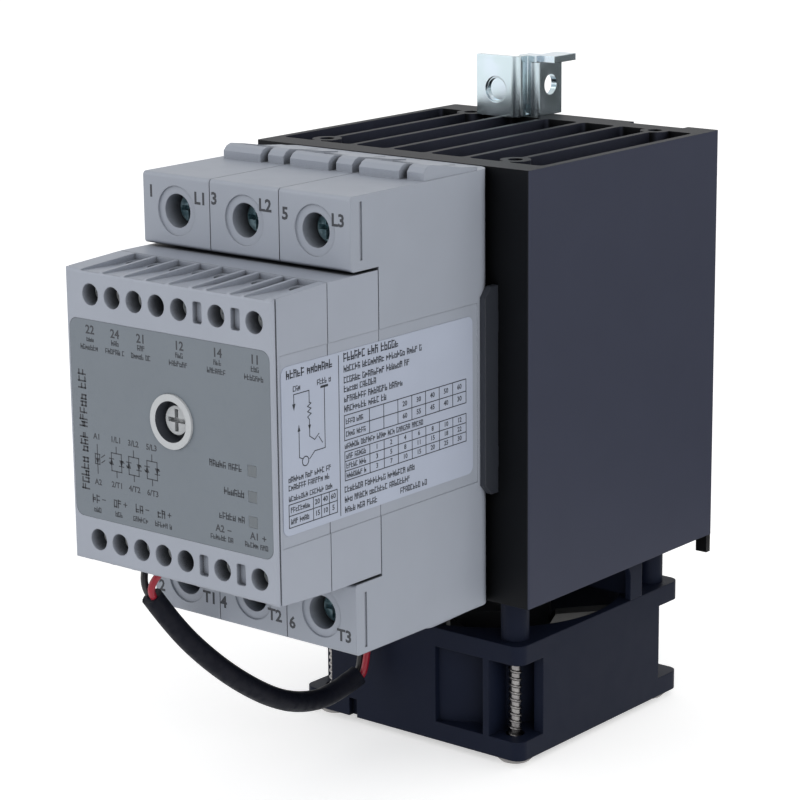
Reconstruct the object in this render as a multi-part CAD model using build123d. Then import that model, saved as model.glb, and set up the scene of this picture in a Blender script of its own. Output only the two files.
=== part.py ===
"""Three-pole solid state contactor on a fan-cooled heat sink, for a 35 mm rail.

Frame: X to the right, Y from the terminals towards the rail, Z up. The origin is in
the middle of the rear face of the heat sink, where the rail lies. Millimetres.
"""
from build123d import *
import math
import os

# ---- Heat sink extrusion
SINK_W = 72.0            # width
SINK_D = 68.5            # depth, front plate to rear face
SINK_H = 90.5            # extruded length
SINK_FRONT = 6.5         # front plate thickness
SINK_REAR = 7.5          # rear wall thickness
SINK_SIDE = 1.8          # side wall thickness
FIN_T = 1.4              # fin thickness
FIN_PITCH = 10.0
FIN_COUNT = 6
SLOT_END_R = 1.2         # rounding of each air channel's ends
SINK_EDGE_R = 0.6        # outer vertical edges
BOSS_T = 1.6             # wall round each screw channel
GROOVE_W = 14.2          # rear grooves for rail hooks
GROOVE_X = 21.0          # groove centre from the middle
GROOVE_DEPTH = 2.0

# ---- Pole housings
POLES = 3
POLE_PITCH = 18.0
POLE_GAP = 0.2           # free space between neighbours
POLE_H = 90.2            # height over both terminal noses
BODY_REACH = 35.6        # body in front of the heat sink
NOSE_REACH = 43.7        # terminal noses in front of the heat sink
NOSE_H = 14.4            # height of one nose
POLE_WALL = 1.6
CORNER_R = 3.6           # rear vertical edges of the outer poles
CORNER_WALL = 0.4        # wall left inside each rounded edge
EDGE_R = 0.8             # softened front edges
TICK_W = 0.7             # engraved tick beside each nose
TICK_Y = 3.0             # its place behind the nose's face
TICK_END = 1.2           # its outer end below the housing's end
TICK_L = 11.2

# ---- Power terminals
WELL_R = 3.4             # screwdriver well
WELL_RING_R = 5.0        # shallow ring around the well
WELL_RING_DEPTH = 0.4
WELL_DEPTH = 8.9         # to the shoulder under the screw head
HEAD_R = 3.2
HEAD_T = 5.0
SCREW_R = 2.5            # M5
SCREW_PITCH = 0.8        # M5 coarse
SCREW_PLAY = 0.2         # screw's radial play in its shoulder
RECESS_L = 4.6           # cross recess in the screw head
RECESS_W = 1.0
RECESS_DEPTH = 1.6
HEAD_CHAMFER = 0.5
SHOULDER_T = 1.5
CLAMP_W = 11.0           # rising clamp, outside
CLAMP_H = 9.0
CLAMP_WALL = 1.4
CLAMP_NUT = 3.0          # threaded front wall of the clamp
CLAMP_DEPTH = 17.0       # front to rear, outside
CLAMP_TRAVEL = 5.0
CLAMP_CLEAR = 0.3        # left in front of the clamp at the end of its travel
BAR_GAP = 0.6            # between the open clamp's front wall and the bar
BAR_CLEAR = 0.1          # between the screw's tip and the bar
BAR_W = 7.0              # terminal bar
BAR_T = 2.0
WINDOW_W = 7.9           # wire window
WINDOW_D = 7.0
WINDOW_X = 7.0           # window centre from the left side of its pole
WINDOW_REACH = 16.5      # window centre in front of the heat sink
LIP_T = 2.2              # hood in front of each window
LIP_SIDE_T = 1.1         # hood beside each window
LIP_RISE = 2.9           # guard hoods on top
LIP_RISE_LOW = 0.5       # the lower ones are almost flush
LIP_SHAPE = ((0.0, 0.55), (0.9, 0.86), (2.1, 1.0), (6.0, 0.8), (12.0, 0.42))
LIP_FOOT = 0.4           # how deep each hood is sunk into the wall
LIP_END = 4.6            # hoods end this far in front of the heat sink
LIP_END_RISE = 0.22      # and this share of their rise above the wall
BLOCK_GAP = 1.3          # gap between a hood and the block beside it
BLOCK_EDGE = 0.3         # the block stops short of the housing's side
BLOCK_BACK = 0.8         # the block starts this far behind the hood

# ---- Power stage in each pole, and side clips
BASE_T = 3.0             # copper base plate
BASE_W = 9.6
BASE_H = 56.0
PAD_T = 0.3              # thermal pad
CERAMIC_T = 0.7
CERAMIC_H = 30.0
CHIP = 8.0
CHIP_T = 0.5
BASE_SCREW_R = 1.25
BASE_SCREW_HEAD_R = 2.4
BASE_SCREW_HEAD_T = 1.8
BASE_SCREW_PLAY = 0.2
BASE_SCREW_INSET = 4.0   # from each end of the base plate
CHIP_Z = 7.0             # chips above and below the middle
CERAMIC_INSET = 0.4
LEAD_R = 0.8             # posts from board to chips
VARISTOR_R = 6.0
VARISTOR_T = 4.0
VARISTOR_LIFT = 7.0      # disc centre in front of the board
VARISTOR_LEG_R = 0.4
VARISTOR_LEG_Z = 2.5
BOARD_T = 1.2
BOARD_REACH = 14.0       # boards in front of the heat sink
CTRL_BOARD_BACK = 3.0    # control board behind the parting line
BOARD_H = 48.0
BAR_FOOT_Z = 20.0        # the bars' feet on the board
CLIP_T = 1.4
CLIP_FOOT = 2.0
CLIP_H = 43.0
CLIP_LUGS = (-14.0, 14.0)
CLIP_REACH = 4.2         # in front of the heat sink
CLIP_CHAMFER = 2.0
CLIP_PLAY = 0.1
RAIL_SCREW_R = 1.5

# ---- Control module
CONTROL_H = 60.2
CONTROL_W = POLES * POLE_PITCH - POLE_GAP
BASE_REACH = 50.6        # parting line between base and cover
COVER_REACH = 66.1       # front face
COVER_TAPER = 0.8        # top and bottom fall away by this much to the front
CONTROL_WALL = 1.5
CONTROL_GAP = 0.2        # parting line
CONTROL_SEAM = 0.3       # chamfer where the module meets the poles
COVER_FRONT = 2.0        # cover's front wall
COVER_SHELF = 2.6        # its top and bottom walls, which the ramps are cut into
COVER_EDGE_R = 0.7
EDGE_LINE_BACK = 0.75    # line cut into the sides behind the front edges
EDGE_LINE_W = 0.4
EDGE_LINE_DEPTH = 0.4
CTRL_WELL_R = 2.15
CTRL_WELL_EDGE = 4.7     # well centre from the cover's top or bottom edge
CTRL_WELL_DEPTH = 5.2
CTRL_BLOCK_D = 6.2       # solid row behind the wells
CTRL_BLOCK_H = 8.6
CTRL_PITCH = 5.85        # between neighbouring wells
CTRL_FIRST_X = -20.05
CTRL_PLACES = (0, 1, 2, 3, 4, 5.64, 7.265)  # well places in pitches
CTRL_BLANK_UP = 3        # the fourth upper well stays empty
CTRL_BLANK_LOW = 4       # the fifth lower well stays empty
CTRL_SLOTS = (4.82, 6.46)                   # narrow coding slots
CODE_SLOT_W = 2.3
CODE_SLOT_H = 4.2
CODE_SLOT_R = 0.5
CODE_SLOT_DEPTH = 1.2
CTRL_HEAD_R = 2.0
CTRL_HEAD_T = 2.1
CTRL_SCREW_R = 1.25
CTRL_SCREW_LEN = 4.4
CTRL_CROSS_L = 2.8       # cross recess
CTRL_CROSS_W = 0.6
CTRL_CROSS_DEPTH = 0.8
CTRL_PLAY = 0.15
CTRL_CLAMP_CLEAR = 0.8   # between the solid row and each clamp
CTRL_CLAMP_W = 4.8
CTRL_CLAMP_H = 4.0
CTRL_CLAMP_D = 7.5
CTRL_CLAMP_NUT = 1.8
CTRL_CLAMP_WALL = 0.7
PIN_W = 2.4
PIN_T = 0.8
PIN_DROP = 4.6           # legs this far inside their wells
CTRL_WIRE_W = 5.05       # control wire ramp
CTRL_WIRE_D = 4.6        # level stretch at its end
CTRL_WIRE_R = 2.0        # wire window in that stretch
CTRL_WIRE_BACK = 12.8    # window centre behind the front face
RAMP_START = 0.2         # ramps start this far behind the front face
RAMP_STEP = 0.3          # and this deep
RAMP_DROP = 1.2          # depth of each wire ramp at its window
CODE_RAMP_W = 2.7        # ramp above each coding slot
LABEL_W = 52.0
LABEL_H = 39.8
LABEL_Z = -0.35          # its centre
LABEL_T = 0.3
LABEL_R = 2.0
LABEL_PLAY = 0.05
SIDE_LABEL_T = 0.15
SIDE_LABEL_Y = (64.0, 6.6)   # reach of its front and rear edges
SIDE_LABEL_H = 32.4
SIDE_LABEL_R = 1.6
SIDE_RECESS_Y = (64.3, 5.0)  # reach of the label's recess
SIDE_RECESS_H = 37.0
TRIM_X = 0.9             # trimmer centre
TRIM_Z = 2.6
TRIM_RING_R = 5.4
TRIM_BORE_R = 4.05
TRIM_PROUD = 0.5
TRIM_FLOOR = 3.0         # floor of the bore round the knob
KNOB_R = 2.85
KNOB_DEPTH = 1.2         # knob face below the cover's face
KNOB_T = 4.0
KNOB_NECK_R = 1.0
KNOB_NECK_L = 3.5
KNOB_SLOT_L = 4.4
KNOB_SLOT_W = 0.9
KNOB_SLOT_DEPTH = 1.2
KNOB_PLAY = 0.1
LINK = 4.0               # side of each board link
LINK_Z = 12.0
LINK_PLAY = 0.3
RELAY_X = -18.5          # output relays on the control board
RELAY_ZS = (-17.5, 3.0)
RELAY_W = 10.0
RELAY_H = 15.0
RELAY_D = 9.0
STATUS_SIDE = 2.1        # side of each square status window
STATUS_X = 21.1
DIODE_SIDE = 1.8
DIODE_T = 1.2
STATUS_ZS = (-3.8, -8.8, -13.7)

# ---- Fan
FAN = 60.0
FAN_T = 25.4
FAN_FLANGE_T = 4.2
FAN_BORE_R = 28.4
FAN_WALL_R = 29.4        # outside of the round duct wall
FAN_HOLES = 50.0         # square spacing of the four screws
FAN_CORNER_R = 2.5
FAN_FLAT = 43.6          # length of each flush side wall
FAN_BACK_GAP = 3.3       # heat sink rear face to fan rear side
FAN_DROP = 11.0          # gap from heat sink to fan
HUB_R = 14.0
HUB_T = 2.0
STRUT_W = 2.6
TUBE_R = 4.4             # bearing tube
TUBE_H = 17.0
FRONT_WALL_END = 7.4     # front flush wall ends here, and a pocket begins
FAN_NOTCH_X = -15.8
NOTCH_W = 2.2
NOTCH_D = 1.4
FAN_FLAT_T = 2.4         # thickness of the flush walls
RIB_W = 1.6              # rib beside the front right screw
RIB_D = 6.0
FAN_HOLE_PLAY = 0.5
BLADE_PITCH = 52.0
ROTOR_R = 27.3
ROTOR_CUP_R = 13.0
ROTOR_GAP = 2.2          # rotor above the hub
ROTOR_DROP = 1.4         # rotor below the frame's top
ROTOR_BOSS_R = 3.2
ROTOR_BOSS_H = 4.0
CUP_WALL = 1.0
CUP_TOP = 1.6
BLADE_T = 1.3
BLADE_INSET = 0.6        # blades stop short of the rotor's ends
SHAFT_FOOT = 1.4         # shaft's foot above the frame's underside
RING_T = 0.5             # retaining ring
RING_R = 2.4
GROOVE_DEPTH_R = 0.4
BEARING_FOOT = 3.0
BEARING_INSET = 0.7
BEARING_T = 2.5
STATOR_R = 9.9
STATOR_Z = 7.0
STATOR_H = 7.0
STATOR_CORE = 2.2
POLE_TOOTH = 3.0
SHOE_T = 1.4
SHOE_W = 8.4
MAGNET_T = 0.9
MAGNET_H = 11.0
FAN_BOARD_R = 10.6
FAN_BOARD_T = 1.0
FIT = 0.03               # radial clearance of pieces pushed onto the bearing tube
BLADES = 7
SHAFT_R = 1.5
BEARING_R = 3.5
RUN = 0.05               # radial running clearance
SPACER_R = 3.0
SELF_TAP_R = 1.55
SELF_TAP_PLAY = 0.05
SPACER_PLAY = 0.1
SELF_TAP_DEPTH = 9.0     # length inside the heat sink
TAP_HEAD_R = 3.85
TAP_HEAD_T = 1.6
TAP_HEAD_EDGE = 0.7
TAP_CROSS_L = 4.2
TAP_CROSS_W = 0.9
TAP_CROSS_DEPTH = 0.8

# ---- Air duct
DUCT_FRONT = 11.2        # duct's front edge before the fan's axis
DUCT_REAR = 14.8         # its rear face behind the fan's axis
DUCT_T = 1.4
DUCT_STRIP = 4.4         # side walls left beside the arch
DUCT_RIM = 1.5           # rim left above the arch
ARCH_R = 4.5

# ---- Rail fittings
STEEL = 1.5              # sheet thickness
BEND_R = 1.0             # folds, at the middle of the sheet
BRACKET_H = 13.6         # bracket above the heat sink
TAB_X = -21.6            # bracket's front tab
TAB_W = 10.6
TAB_BACK = 9.7           # tab in front of the heat sink's rear face
WEB_BACK = 5.9           # web between the tab and the side plate
SIDE_X = -8.6            # side plate
SIDE_BEHIND = 2.9        # side plate's rear edge behind the rear face
EARTH_HOLE_R = 2.5
EARTH_HOLE_Z = 6.0       # above the heat sink
EARTH_SINK_R = 2.9       # countersink round the earth hole
EARTH_SINK = 0.4
SIDE_HOLE_R = 2.3
SIDE_HOLE_BACK = 1.3
SIDE_HOLE_Z = 6.8
NOTCH_R = 1.2            # relief at the foot of the fold
NOTCH_Z = 1.6
FOOT_H = 3.4             # foot between the side plate and the leg
FLANGE_X = -12.6         # top flange over the web
FLANGE_IN = 3.0
FLANGE_OUT = 4.6         # top flange beside the side plate
BACK_LEAF_X = -24.2      # leaf that rises from the leg behind the tab
BACK_LEAF_W = 5.8
BACK_LEAF_H = 9.4
NUB_W = 3.2              # stop on the leaf's upper edge
NUB_H = 2.4
LEG_PLAY = 0.3           # legs in their grooves
LEG_Z = 19.0             # foot of each leg
HOOK_LIP = 3.5
LEG_SCREW_Z = (26.5, 36.5)
RAIL_HEAD_R = 2.8
RAIL_HEAD_T = 1.6
HOOK_REACH = 4.0
LATCH_TRAVEL = 4.0
LATCH_W = 69.0
PRONG_W = 2.8
PRONG_DROP = 4.8
LATCH_GAP = 0.3          # latch off the heat sink's rear face
LATCH_H = 14.0
LATCH_RISE = 1.0         # latch's lower edge above the heat sink's
CATCH_W = 18.0
CATCH_Z = -19.0          # catch under the rail's lower edge
HOOK_TOP = 4.0           # second hook's top below the heat sink's
SCREW_FIT = 0.1
GUIDE_X = 25.0
GUIDE_Z = 8.0            # guide screws above the heat sink's lower edge
GUIDE_GAP = 0.15         # latch's play under the guide screws' heads
GUIDE_HEAD_R = 3.2
GUIDE_HEAD_T = 1.25
POST_STUD_R = 1.2
POST_STUD_L = 3.0
POST_T = 3.0
POST_W = 4.8
POST_CLEAR = 0.4
SPRING_R = 1.6
SPRING_WIRE_R = 0.3
SPRING_TURNS = 7
SPRING_END = 0.1         # free space at the spring's two ends
SPRING_SIDE = 1.4        # window beside the spring
SPRING_Y = 2.0
SPRING_FOOT = 7.25       # spring's lower end above the heat sink's lower edge
SPRING_H = 11.5

# ---- Fan lead
LEAD_D = 4.5
LEAD_ROUTE = [
    (-17.6, -123.0, -38.8),
    (-16.0, -118.2, -46.4),
    (-14.2, -110.9, -54.6),
    (-12.8, -102.2, -62.1),
    (-12.2, -92.1, -68.6),
    (-12.3, -82.7, -72.0),
    (-11.4, -75.0, -72.2),
    (-9.4, -68.9, -69.0),
]
WIRE_R = 0.75
TAIL_STRAIGHT = 2.5      # straight end of each tail at the sleeve
PORT_W = 5.2             # wire port in the fan frame
PORT_H = 2.6

LEAD_ENTRY = 4.75        # where the wires enter the fan frame, below its top
TAIL_OFFSET = 1.0        # tails beside the sleeve's middle
TAIL_DIP = 0.5           # each tail's last bend below its port
TAIL_BEND = 2.0          # and in front of it
TAIL_HANG = 2.5          # tails below the cover's lower face

CUT = 1.0                # how far cutting shapes run past what they cut
BLIND = 0.8              # material left under a blind hole

# ---- Planes worked out from the sizes
Y_SEAT = -SINK_D
Z_TOP = SINK_H / 2
Z_BOT = -SINK_H / 2
Y_BODY = Y_SEAT - BODY_REACH
Y_NOSE = Y_SEAT - NOSE_REACH
Y_BASE = Y_SEAT - BASE_REACH
Y_COVER = Y_SEAT - COVER_REACH
POLE_Z = POLE_H / 2
POLE_W = POLE_PITCH - POLE_GAP
CONTROL_Z = CONTROL_H / 2
COVER_Z = CONTROL_Z - COVER_TAPER
TERMINAL_Z = POLE_Z - NOSE_H / 2
Y_SHOULDER = Y_NOSE + WELL_DEPTH
Y_WINDOW = Y_SEAT - WINDOW_REACH
Y_LIP = Y_WINDOW - WINDOW_D / 2 - LIP_T
FAN_Y = -FAN_BACK_GAP - FAN / 2
FAN_TOP = Z_BOT - FAN_DROP
FAN_BOT = FAN_TOP - FAN_T
ROTOR_BOT = FAN_BOT + HUB_T + ROTOR_GAP
ROTOR_TOP = FAN_TOP - ROTOR_DROP
LEAD_ENTRY_Z = FAN_TOP - LEAD_ENTRY
SPRING_Z0 = Z_BOT + SPRING_FOOT
SPRING_Z1 = SPRING_Z0 + SPRING_H
POLE_XS = [(i - (POLES - 1) / 2) * POLE_PITCH for i in range(POLES)]
WIRE_WINDOW_Y = Y_COVER + CTRL_WIRE_BACK
Y_CTRL_BOARD = Y_BASE + CTRL_BOARD_BACK
Y_BOARD = Y_SEAT - BOARD_REACH


def box(x0, x1, y0, y1, z0, z1):
    """Box between two corners."""
    size = (abs(x1 - x0), abs(y1 - y0), abs(z1 - z0))
    return Pos((x0 + x1) / 2, (y0 + y1) / 2, (z0 + z1) / 2) * Box(*size)


def rod(radius, start, end):
    """Round rod between two points."""
    a = Vector(*start)
    b = Vector(*end)
    return extrude(Plane(a, z_dir=b - a) * Circle(radius), (b - a).length)


def rod_y(radius, x, z, y0, y1):
    """Round rod along Y."""
    return rod(radius, (x, y0, z), (x, y1, z))


def rod_z(radius, x, y, z0, z1):
    """Round rod along Z."""
    return rod(radius, (x, y, z0), (x, y, z1))


def plate(face, z0, z1):
    """Extrude a sketch drawn in X and Y between two heights."""
    return extrude(Pos(0, 0, z0) * face, z1 - z0)


def side_profile(points, x0, x1):
    """Extrude a Y-Z outline along X."""
    outline = make_face(Polyline(*[(x0, y, z) for y, z in points], close=True))
    return extrude(outline, x1 - x0, dir=(1, 0, 0))


def mirrored(part):
    """The part and its copy below the middle plane."""
    return [part, mirror(part, Plane.XY)]


def fan_corners():
    """Centres of the four fan screws."""
    half = FAN_HOLES / 2
    return [(sx * half, FAN_Y + sy * half) for sx in (-1, 1) for sy in (-1, 1)]


def control_x(place):
    """Centre of a control well from its place in the row."""
    return CTRL_FIRST_X + place * CTRL_PITCH


# ---- Heat sink -------------------------------------------------------------

def heat_sink():
    """Extrusion with air channels, screw channels and rear grooves."""
    outline = Pos(0, -SINK_D / 2) * RectangleRounded(SINK_W, SINK_D, SINK_EDGE_R)
    slot_y0 = Y_SEAT + SINK_FRONT
    slot_y1 = -SINK_REAR
    fins = [(i - (FIN_COUNT - 1) / 2) * FIN_PITCH for i in range(FIN_COUNT)]
    edges = [-SINK_W / 2 + SINK_SIDE - FIN_T / 2] + fins + [SINK_W / 2 - SINK_SIDE + FIN_T / 2]
    for left, right in zip(edges, edges[1:]):
        width = right - left - FIN_T
        centre = ((left + right) / 2, (slot_y0 + slot_y1) / 2)
        outline -= Pos(*centre) * RectangleRounded(width, slot_y1 - slot_y0, SLOT_END_R)
    for x, y in fan_corners():
        outline += Pos(x, y) * Circle(SELF_TAP_R + BOSS_T)
        outline -= Pos(x, y) * Circle(SELF_TAP_R)
    for side in (-1, 1):
        outline -= Pos(side * GROOVE_X, -GROOVE_DEPTH / 2) * Rectangle(GROOVE_W, GROOVE_DEPTH)
    body = plate(outline, Z_BOT, Z_TOP)
    for x, z in base_screw_places():
        body -= rod_y(BASE_SCREW_R, x, z, Y_SEAT, Y_SEAT + SINK_FRONT - BLIND)
    for x, z in rail_screw_places():
        body -= rod_y(RAIL_SCREW_R, x, z, -SINK_REAR + BLIND, 0)
    body -= rod_y(POST_STUD_R, 0, SPRING_Z0 - POST_T / 2, -POST_STUD_L, 0)
    for side in (-1, 1):
        for z in CLIP_LUGS:
            x = side * (CONTROL_W / 2 + CLIP_T / 2)
            half_x = CLIP_T / 2 + CLIP_PLAY
            half_z = CLIP_FOOT + CLIP_PLAY
            body -= box(x - half_x, x + half_x, Y_SEAT, Y_SEAT + CLIP_FOOT + CLIP_PLAY,
                        z - half_z, z + half_z)
    return body


# ---- Pole housings ---------------------------------------------------------

def lip_wedge(x0, x1, front, rise):
    """Guard hood that is tallest near its front and falls away to the rear."""
    points = [(front, POLE_Z - LIP_FOOT)]
    points += [(front + back, POLE_Z + share * rise) for back, share in LIP_SHAPE]
    points += [(Y_SEAT - LIP_END, POLE_Z + LIP_END_RISE * rise), (Y_SEAT - LIP_END, POLE_Z - LIP_FOOT)]
    return side_profile(points, x0, x1)


def wire_guard(x_left, rise):
    """Lips round one wire window, and the block beside it."""
    hood_x0 = x_left + WINDOW_X - WINDOW_W / 2 - LIP_SIDE_T
    hood_x1 = x_left + WINDOW_X + WINDOW_W / 2 + LIP_SIDE_T
    hood = lip_wedge(hood_x0, hood_x1, Y_LIP, rise)
    block_x1 = x_left + POLE_W - BLOCK_EDGE
    return hood + lip_wedge(hood_x1 + BLOCK_GAP, block_x1, Y_LIP + BLOCK_BACK, rise)


def wire_window(x_left):
    """Opening through the wall and the hood."""
    x = x_left + WINDOW_X
    return box(x - WINDOW_W / 2, x + WINDOW_W / 2, Y_WINDOW - WINDOW_D / 2, Y_WINDOW + WINDOW_D / 2,
               POLE_Z - POLE_WALL - CUT, POLE_Z + LIP_RISE + CUT)


def pole_outline():
    """C-shaped side outline with a nose at each end."""
    z_nose = POLE_Z - NOSE_H
    return [(Y_SEAT, -POLE_Z), (Y_NOSE, -POLE_Z), (Y_NOSE, -z_nose), (Y_BODY, -z_nose),
            (Y_BODY, z_nose), (Y_NOSE, z_nose), (Y_NOSE, POLE_Z), (Y_SEAT, POLE_Z)]


def pole_housing(x):
    """One pole's housing: open at the rear, with wells, windows and guards."""
    x0 = x - POLE_W / 2
    x1 = x + POLE_W / 2
    body = side_profile(pole_outline(), x0, x1)
    front = body.edges().filter_by(Axis.X).filter_by(lambda e: e.center().Y < Y_NOSE + 0.1)
    body = fillet(front, EDGE_R)
    outer = x0 if x < -POLE_PITCH / 2 else x1
    if abs(x) > POLE_PITCH / 2:
        rear = body.edges().filter_by(Axis.Z).filter_by(
            lambda e: e.center().Y > Y_SEAT - 0.1 and abs(e.center().X - outer) < 0.1)
        body = fillet(rear, CORNER_R)
    for sign, rise in ((1, LIP_RISE), (-1, LIP_RISE_LOW)):
        guard = wire_guard(x0, rise)
        body += guard if sign > 0 else mirror(guard, Plane.XY)
    thick = CORNER_R + CORNER_WALL
    wall_0 = thick if x < -POLE_PITCH / 2 else POLE_WALL
    wall_1 = thick if x > POLE_PITCH / 2 else POLE_WALL
    inner_z = POLE_Z - POLE_WALL
    body -= box(x0 + POLE_WALL, x1 - POLE_WALL, Y_SHOULDER + SHOULDER_T, Y_SEAT - CORNER_R, -inner_z, inner_z)
    body -= box(x0 + wall_0, x1 - wall_1, Y_SEAT - CORNER_R - CUT, Y_SEAT, -inner_z, inner_z)
    ring = rod_y(WELL_RING_R, x, TERMINAL_Z, Y_NOSE, Y_NOSE + WELL_RING_DEPTH)
    cuts = [ring, rod_y(WELL_R, x, TERMINAL_Z, Y_NOSE - CUT, Y_SHOULDER),
            rod_y(SCREW_R + SCREW_PLAY, x, TERMINAL_Z, Y_SHOULDER - CUT, Y_SHOULDER + SHOULDER_T + CUT),
            wire_window(x0)]
    for edge in (x0, x1):
        cuts.append(box(edge - TICK_W / 2, edge + TICK_W / 2, Y_NOSE + TICK_Y - TICK_W / 2,
                        Y_NOSE + TICK_Y + TICK_W / 2, POLE_Z - TICK_END - TICK_L, POLE_Z - TICK_END))
    for cut in cuts:
        for copy in mirrored(cut):
            body -= copy
    return body - link_window(x) - side_recess()


def power_screw(x, sign):
    """Clamp screw: cross-slotted head on the shoulder, tip at the terminal bar."""
    z = sign * TERMINAL_Z
    y_head = Y_SHOULDER - HEAD_T
    screw = rod_y(HEAD_R, x, z, y_head, Y_SHOULDER)
    screw = chamfer(screw.edges().filter_by(GeomType.CIRCLE).sort_by(Axis.Y)[0], HEAD_CHAMFER)
    screw += rod_y(SCREW_R, x, z, Y_SHOULDER, y_bar_front() - BAR_CLEAR)
    for angle in (0, 90):
        screw -= Pos(x, y_head, z) * Rot(0, angle, 0) * Box(RECESS_L, 2 * RECESS_DEPTH, RECESS_W)
    return screw


def y_clamp_front():
    """Front face of the rising clamp with the terminal fully open."""
    return Y_SHOULDER + SHOULDER_T + CLAMP_TRAVEL + CLAMP_CLEAR


def y_bar_front():
    """Front face of the terminal bar."""
    return y_clamp_front() + CLAMP_NUT + BAR_GAP


def power_clamp(x, sign):
    """Box clamp that the screw draws forward, pinching the wire on the bar."""
    z = sign * TERMINAL_Z
    y0 = y_clamp_front()
    clamp = box(x - CLAMP_W / 2, x + CLAMP_W / 2, y0, y0 + CLAMP_DEPTH, z - CLAMP_H / 2, z + CLAMP_H / 2)
    clamp -= box(x - CLAMP_W / 2 + CLAMP_WALL, x + CLAMP_W / 2 - CLAMP_WALL, y0 + CLAMP_NUT,
                 y0 + CLAMP_DEPTH - CLAMP_WALL, z - CLAMP_H, z + CLAMP_H)
    clamp -= rod_y(SCREW_R + RUN, x, z, y0 - CUT, y0 + CLAMP_NUT + CUT)
    return clamp


def terminal_bars():
    """Six tinned bars, each bent down to its pole's power board."""
    bars = []
    y0 = y_bar_front()
    for x in POLE_XS:
        tongue = box(x - BAR_W / 2, x + BAR_W / 2, y0, y0 + BAR_T, BAR_FOOT_Z, TERMINAL_Z + CLAMP_H / 2)
        foot = box(x - BAR_W / 2, x + BAR_W / 2, y0, Y_BOARD - BOARD_T, BAR_FOOT_Z, BAR_FOOT_Z + BAR_T)
        for bar in mirrored(tongue + foot):
            bars.append(bar)
    return bars


# ---- Power stage inside each pole ------------------------------------------

def base_screw_places():
    """Screws that hold the copper base plates to the heat sink."""
    return [(x, sign * (BASE_H / 2 - BASE_SCREW_INSET)) for x in POLE_XS for sign in (-1, 1)]


def base_plates():
    """Copper plate of each pole, with its two screw holes."""
    plates = []
    y1 = Y_SEAT - PAD_T
    for x in POLE_XS:
        part = box(x - BASE_W / 2, x + BASE_W / 2, y1 - BASE_T, y1, -BASE_H / 2, BASE_H / 2)
        for sx, sz in base_screw_places():
            if sx == x:
                part -= rod_y(BASE_SCREW_R + BASE_SCREW_PLAY, sx, sz, y1 - BASE_T - CUT, y1 + CUT)
        plates.append(part)
    return plates


def thermal_pads():
    """Thin pads between the copper plates and the heat sink."""
    pads = []
    for x in POLE_XS:
        part = box(x - BASE_W / 2, x + BASE_W / 2, Y_SEAT - PAD_T, Y_SEAT, -BASE_H / 2, BASE_H / 2)
        for sx, sz in base_screw_places():
            if sx == x:
                part -= rod_y(BASE_SCREW_R + BASE_SCREW_PLAY, sx, sz, Y_SEAT - PAD_T - CUT, Y_SEAT + CUT)
        pads.append(part)
    return pads


def base_screws():
    """Pan-head screws through the copper plates."""
    screws = []
    y_face = Y_SEAT - PAD_T - BASE_T
    for x, z in base_screw_places():
        head = rod_y(BASE_SCREW_HEAD_R, x, z, y_face - BASE_SCREW_HEAD_T, y_face)
        shank = rod_y(BASE_SCREW_R, x, z, y_face, Y_SEAT + SINK_FRONT - 2 * BLIND)
        screws.append(head + shank)
    return screws


def ceramics():
    """Ceramic substrates on the copper plates."""
    y1 = Y_SEAT - PAD_T - BASE_T
    half = BASE_W / 2 - CERAMIC_INSET
    return [box(x - half, x + half, y1 - CERAMIC_T, y1, -CERAMIC_H / 2, CERAMIC_H / 2) for x in POLE_XS]


def thyristor_chips():
    """Two thyristor chips on each ceramic."""
    y1 = Y_SEAT - PAD_T - BASE_T - CERAMIC_T
    return [box(x - CHIP / 2, x + CHIP / 2, y1 - CHIP_T, y1, z - CHIP / 2, z + CHIP / 2)
            for x in POLE_XS for z in (-CHIP_Z, CHIP_Z)]


def power_boards():
    """Circuit board of each pole, on rails in its housing."""
    boards = []
    for x in POLE_XS:
        half = BASE_W / 2
        boards.append(box(x - half, x + half, Y_BOARD - BOARD_T, Y_BOARD, -BOARD_H / 2, BOARD_H / 2))
    return boards


def varistors():
    """Surge disc of each pole, standing on its board."""
    parts = []
    for x in POLE_XS:
        y = Y_BOARD - BOARD_T - VARISTOR_LIFT
        disc = rod(VARISTOR_R, (x - VARISTOR_T / 2, y, 0), (x + VARISTOR_T / 2, y, 0))
        for z in (-VARISTOR_LEG_Z, VARISTOR_LEG_Z):
            disc += rod_y(VARISTOR_LEG_R, x, z, y + VARISTOR_R / 2, Y_BOARD - BOARD_T)
        parts.append(disc)
    return parts


def power_leads():
    """Posts from each board down to its chips."""
    y1 = Y_SEAT - PAD_T - BASE_T - CERAMIC_T - CHIP_T
    return [rod_y(LEAD_R, x, z, Y_BOARD, y1) for x in POLE_XS for z in (-CHIP_Z, CHIP_Z)]


# ---- Control module --------------------------------------------------------

def control_base():
    """Rear half of the control module, open to the front."""
    half = CONTROL_W / 2
    body = box(-half, half, Y_BASE, Y_BODY, -CONTROL_Z, CONTROL_Z)
    body = chamfer(body.faces().sort_by(Axis.Y)[-1].edges(), CONTROL_SEAM)
    body -= box(-half + CONTROL_WALL, half - CONTROL_WALL, Y_BASE - CUT, Y_BODY - CONTROL_WALL,
                -CONTROL_Z + CONTROL_WALL, CONTROL_Z - CONTROL_WALL)
    for x in POLE_XS:
        body -= link_window(x)
    return body - side_recess()


def side_recess():
    """Shallow recesses for a label, across both sides of the module and the outer poles."""
    half = CONTROL_W / 2
    recess = box(half - SIDE_LABEL_T, half + CUT, Y_SEAT - SIDE_RECESS_Y[0], Y_SEAT - SIDE_RECESS_Y[1],
                 -SIDE_RECESS_H / 2, SIDE_RECESS_H / 2)
    return recess + mirror(recess, Plane.YZ)


def cover_surface(y):
    """Height of the cover's tapered top at a place along Y."""
    return CONTROL_Z - COVER_TAPER * (Y_BASE - y) / (Y_BASE - Y_COVER)


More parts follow.
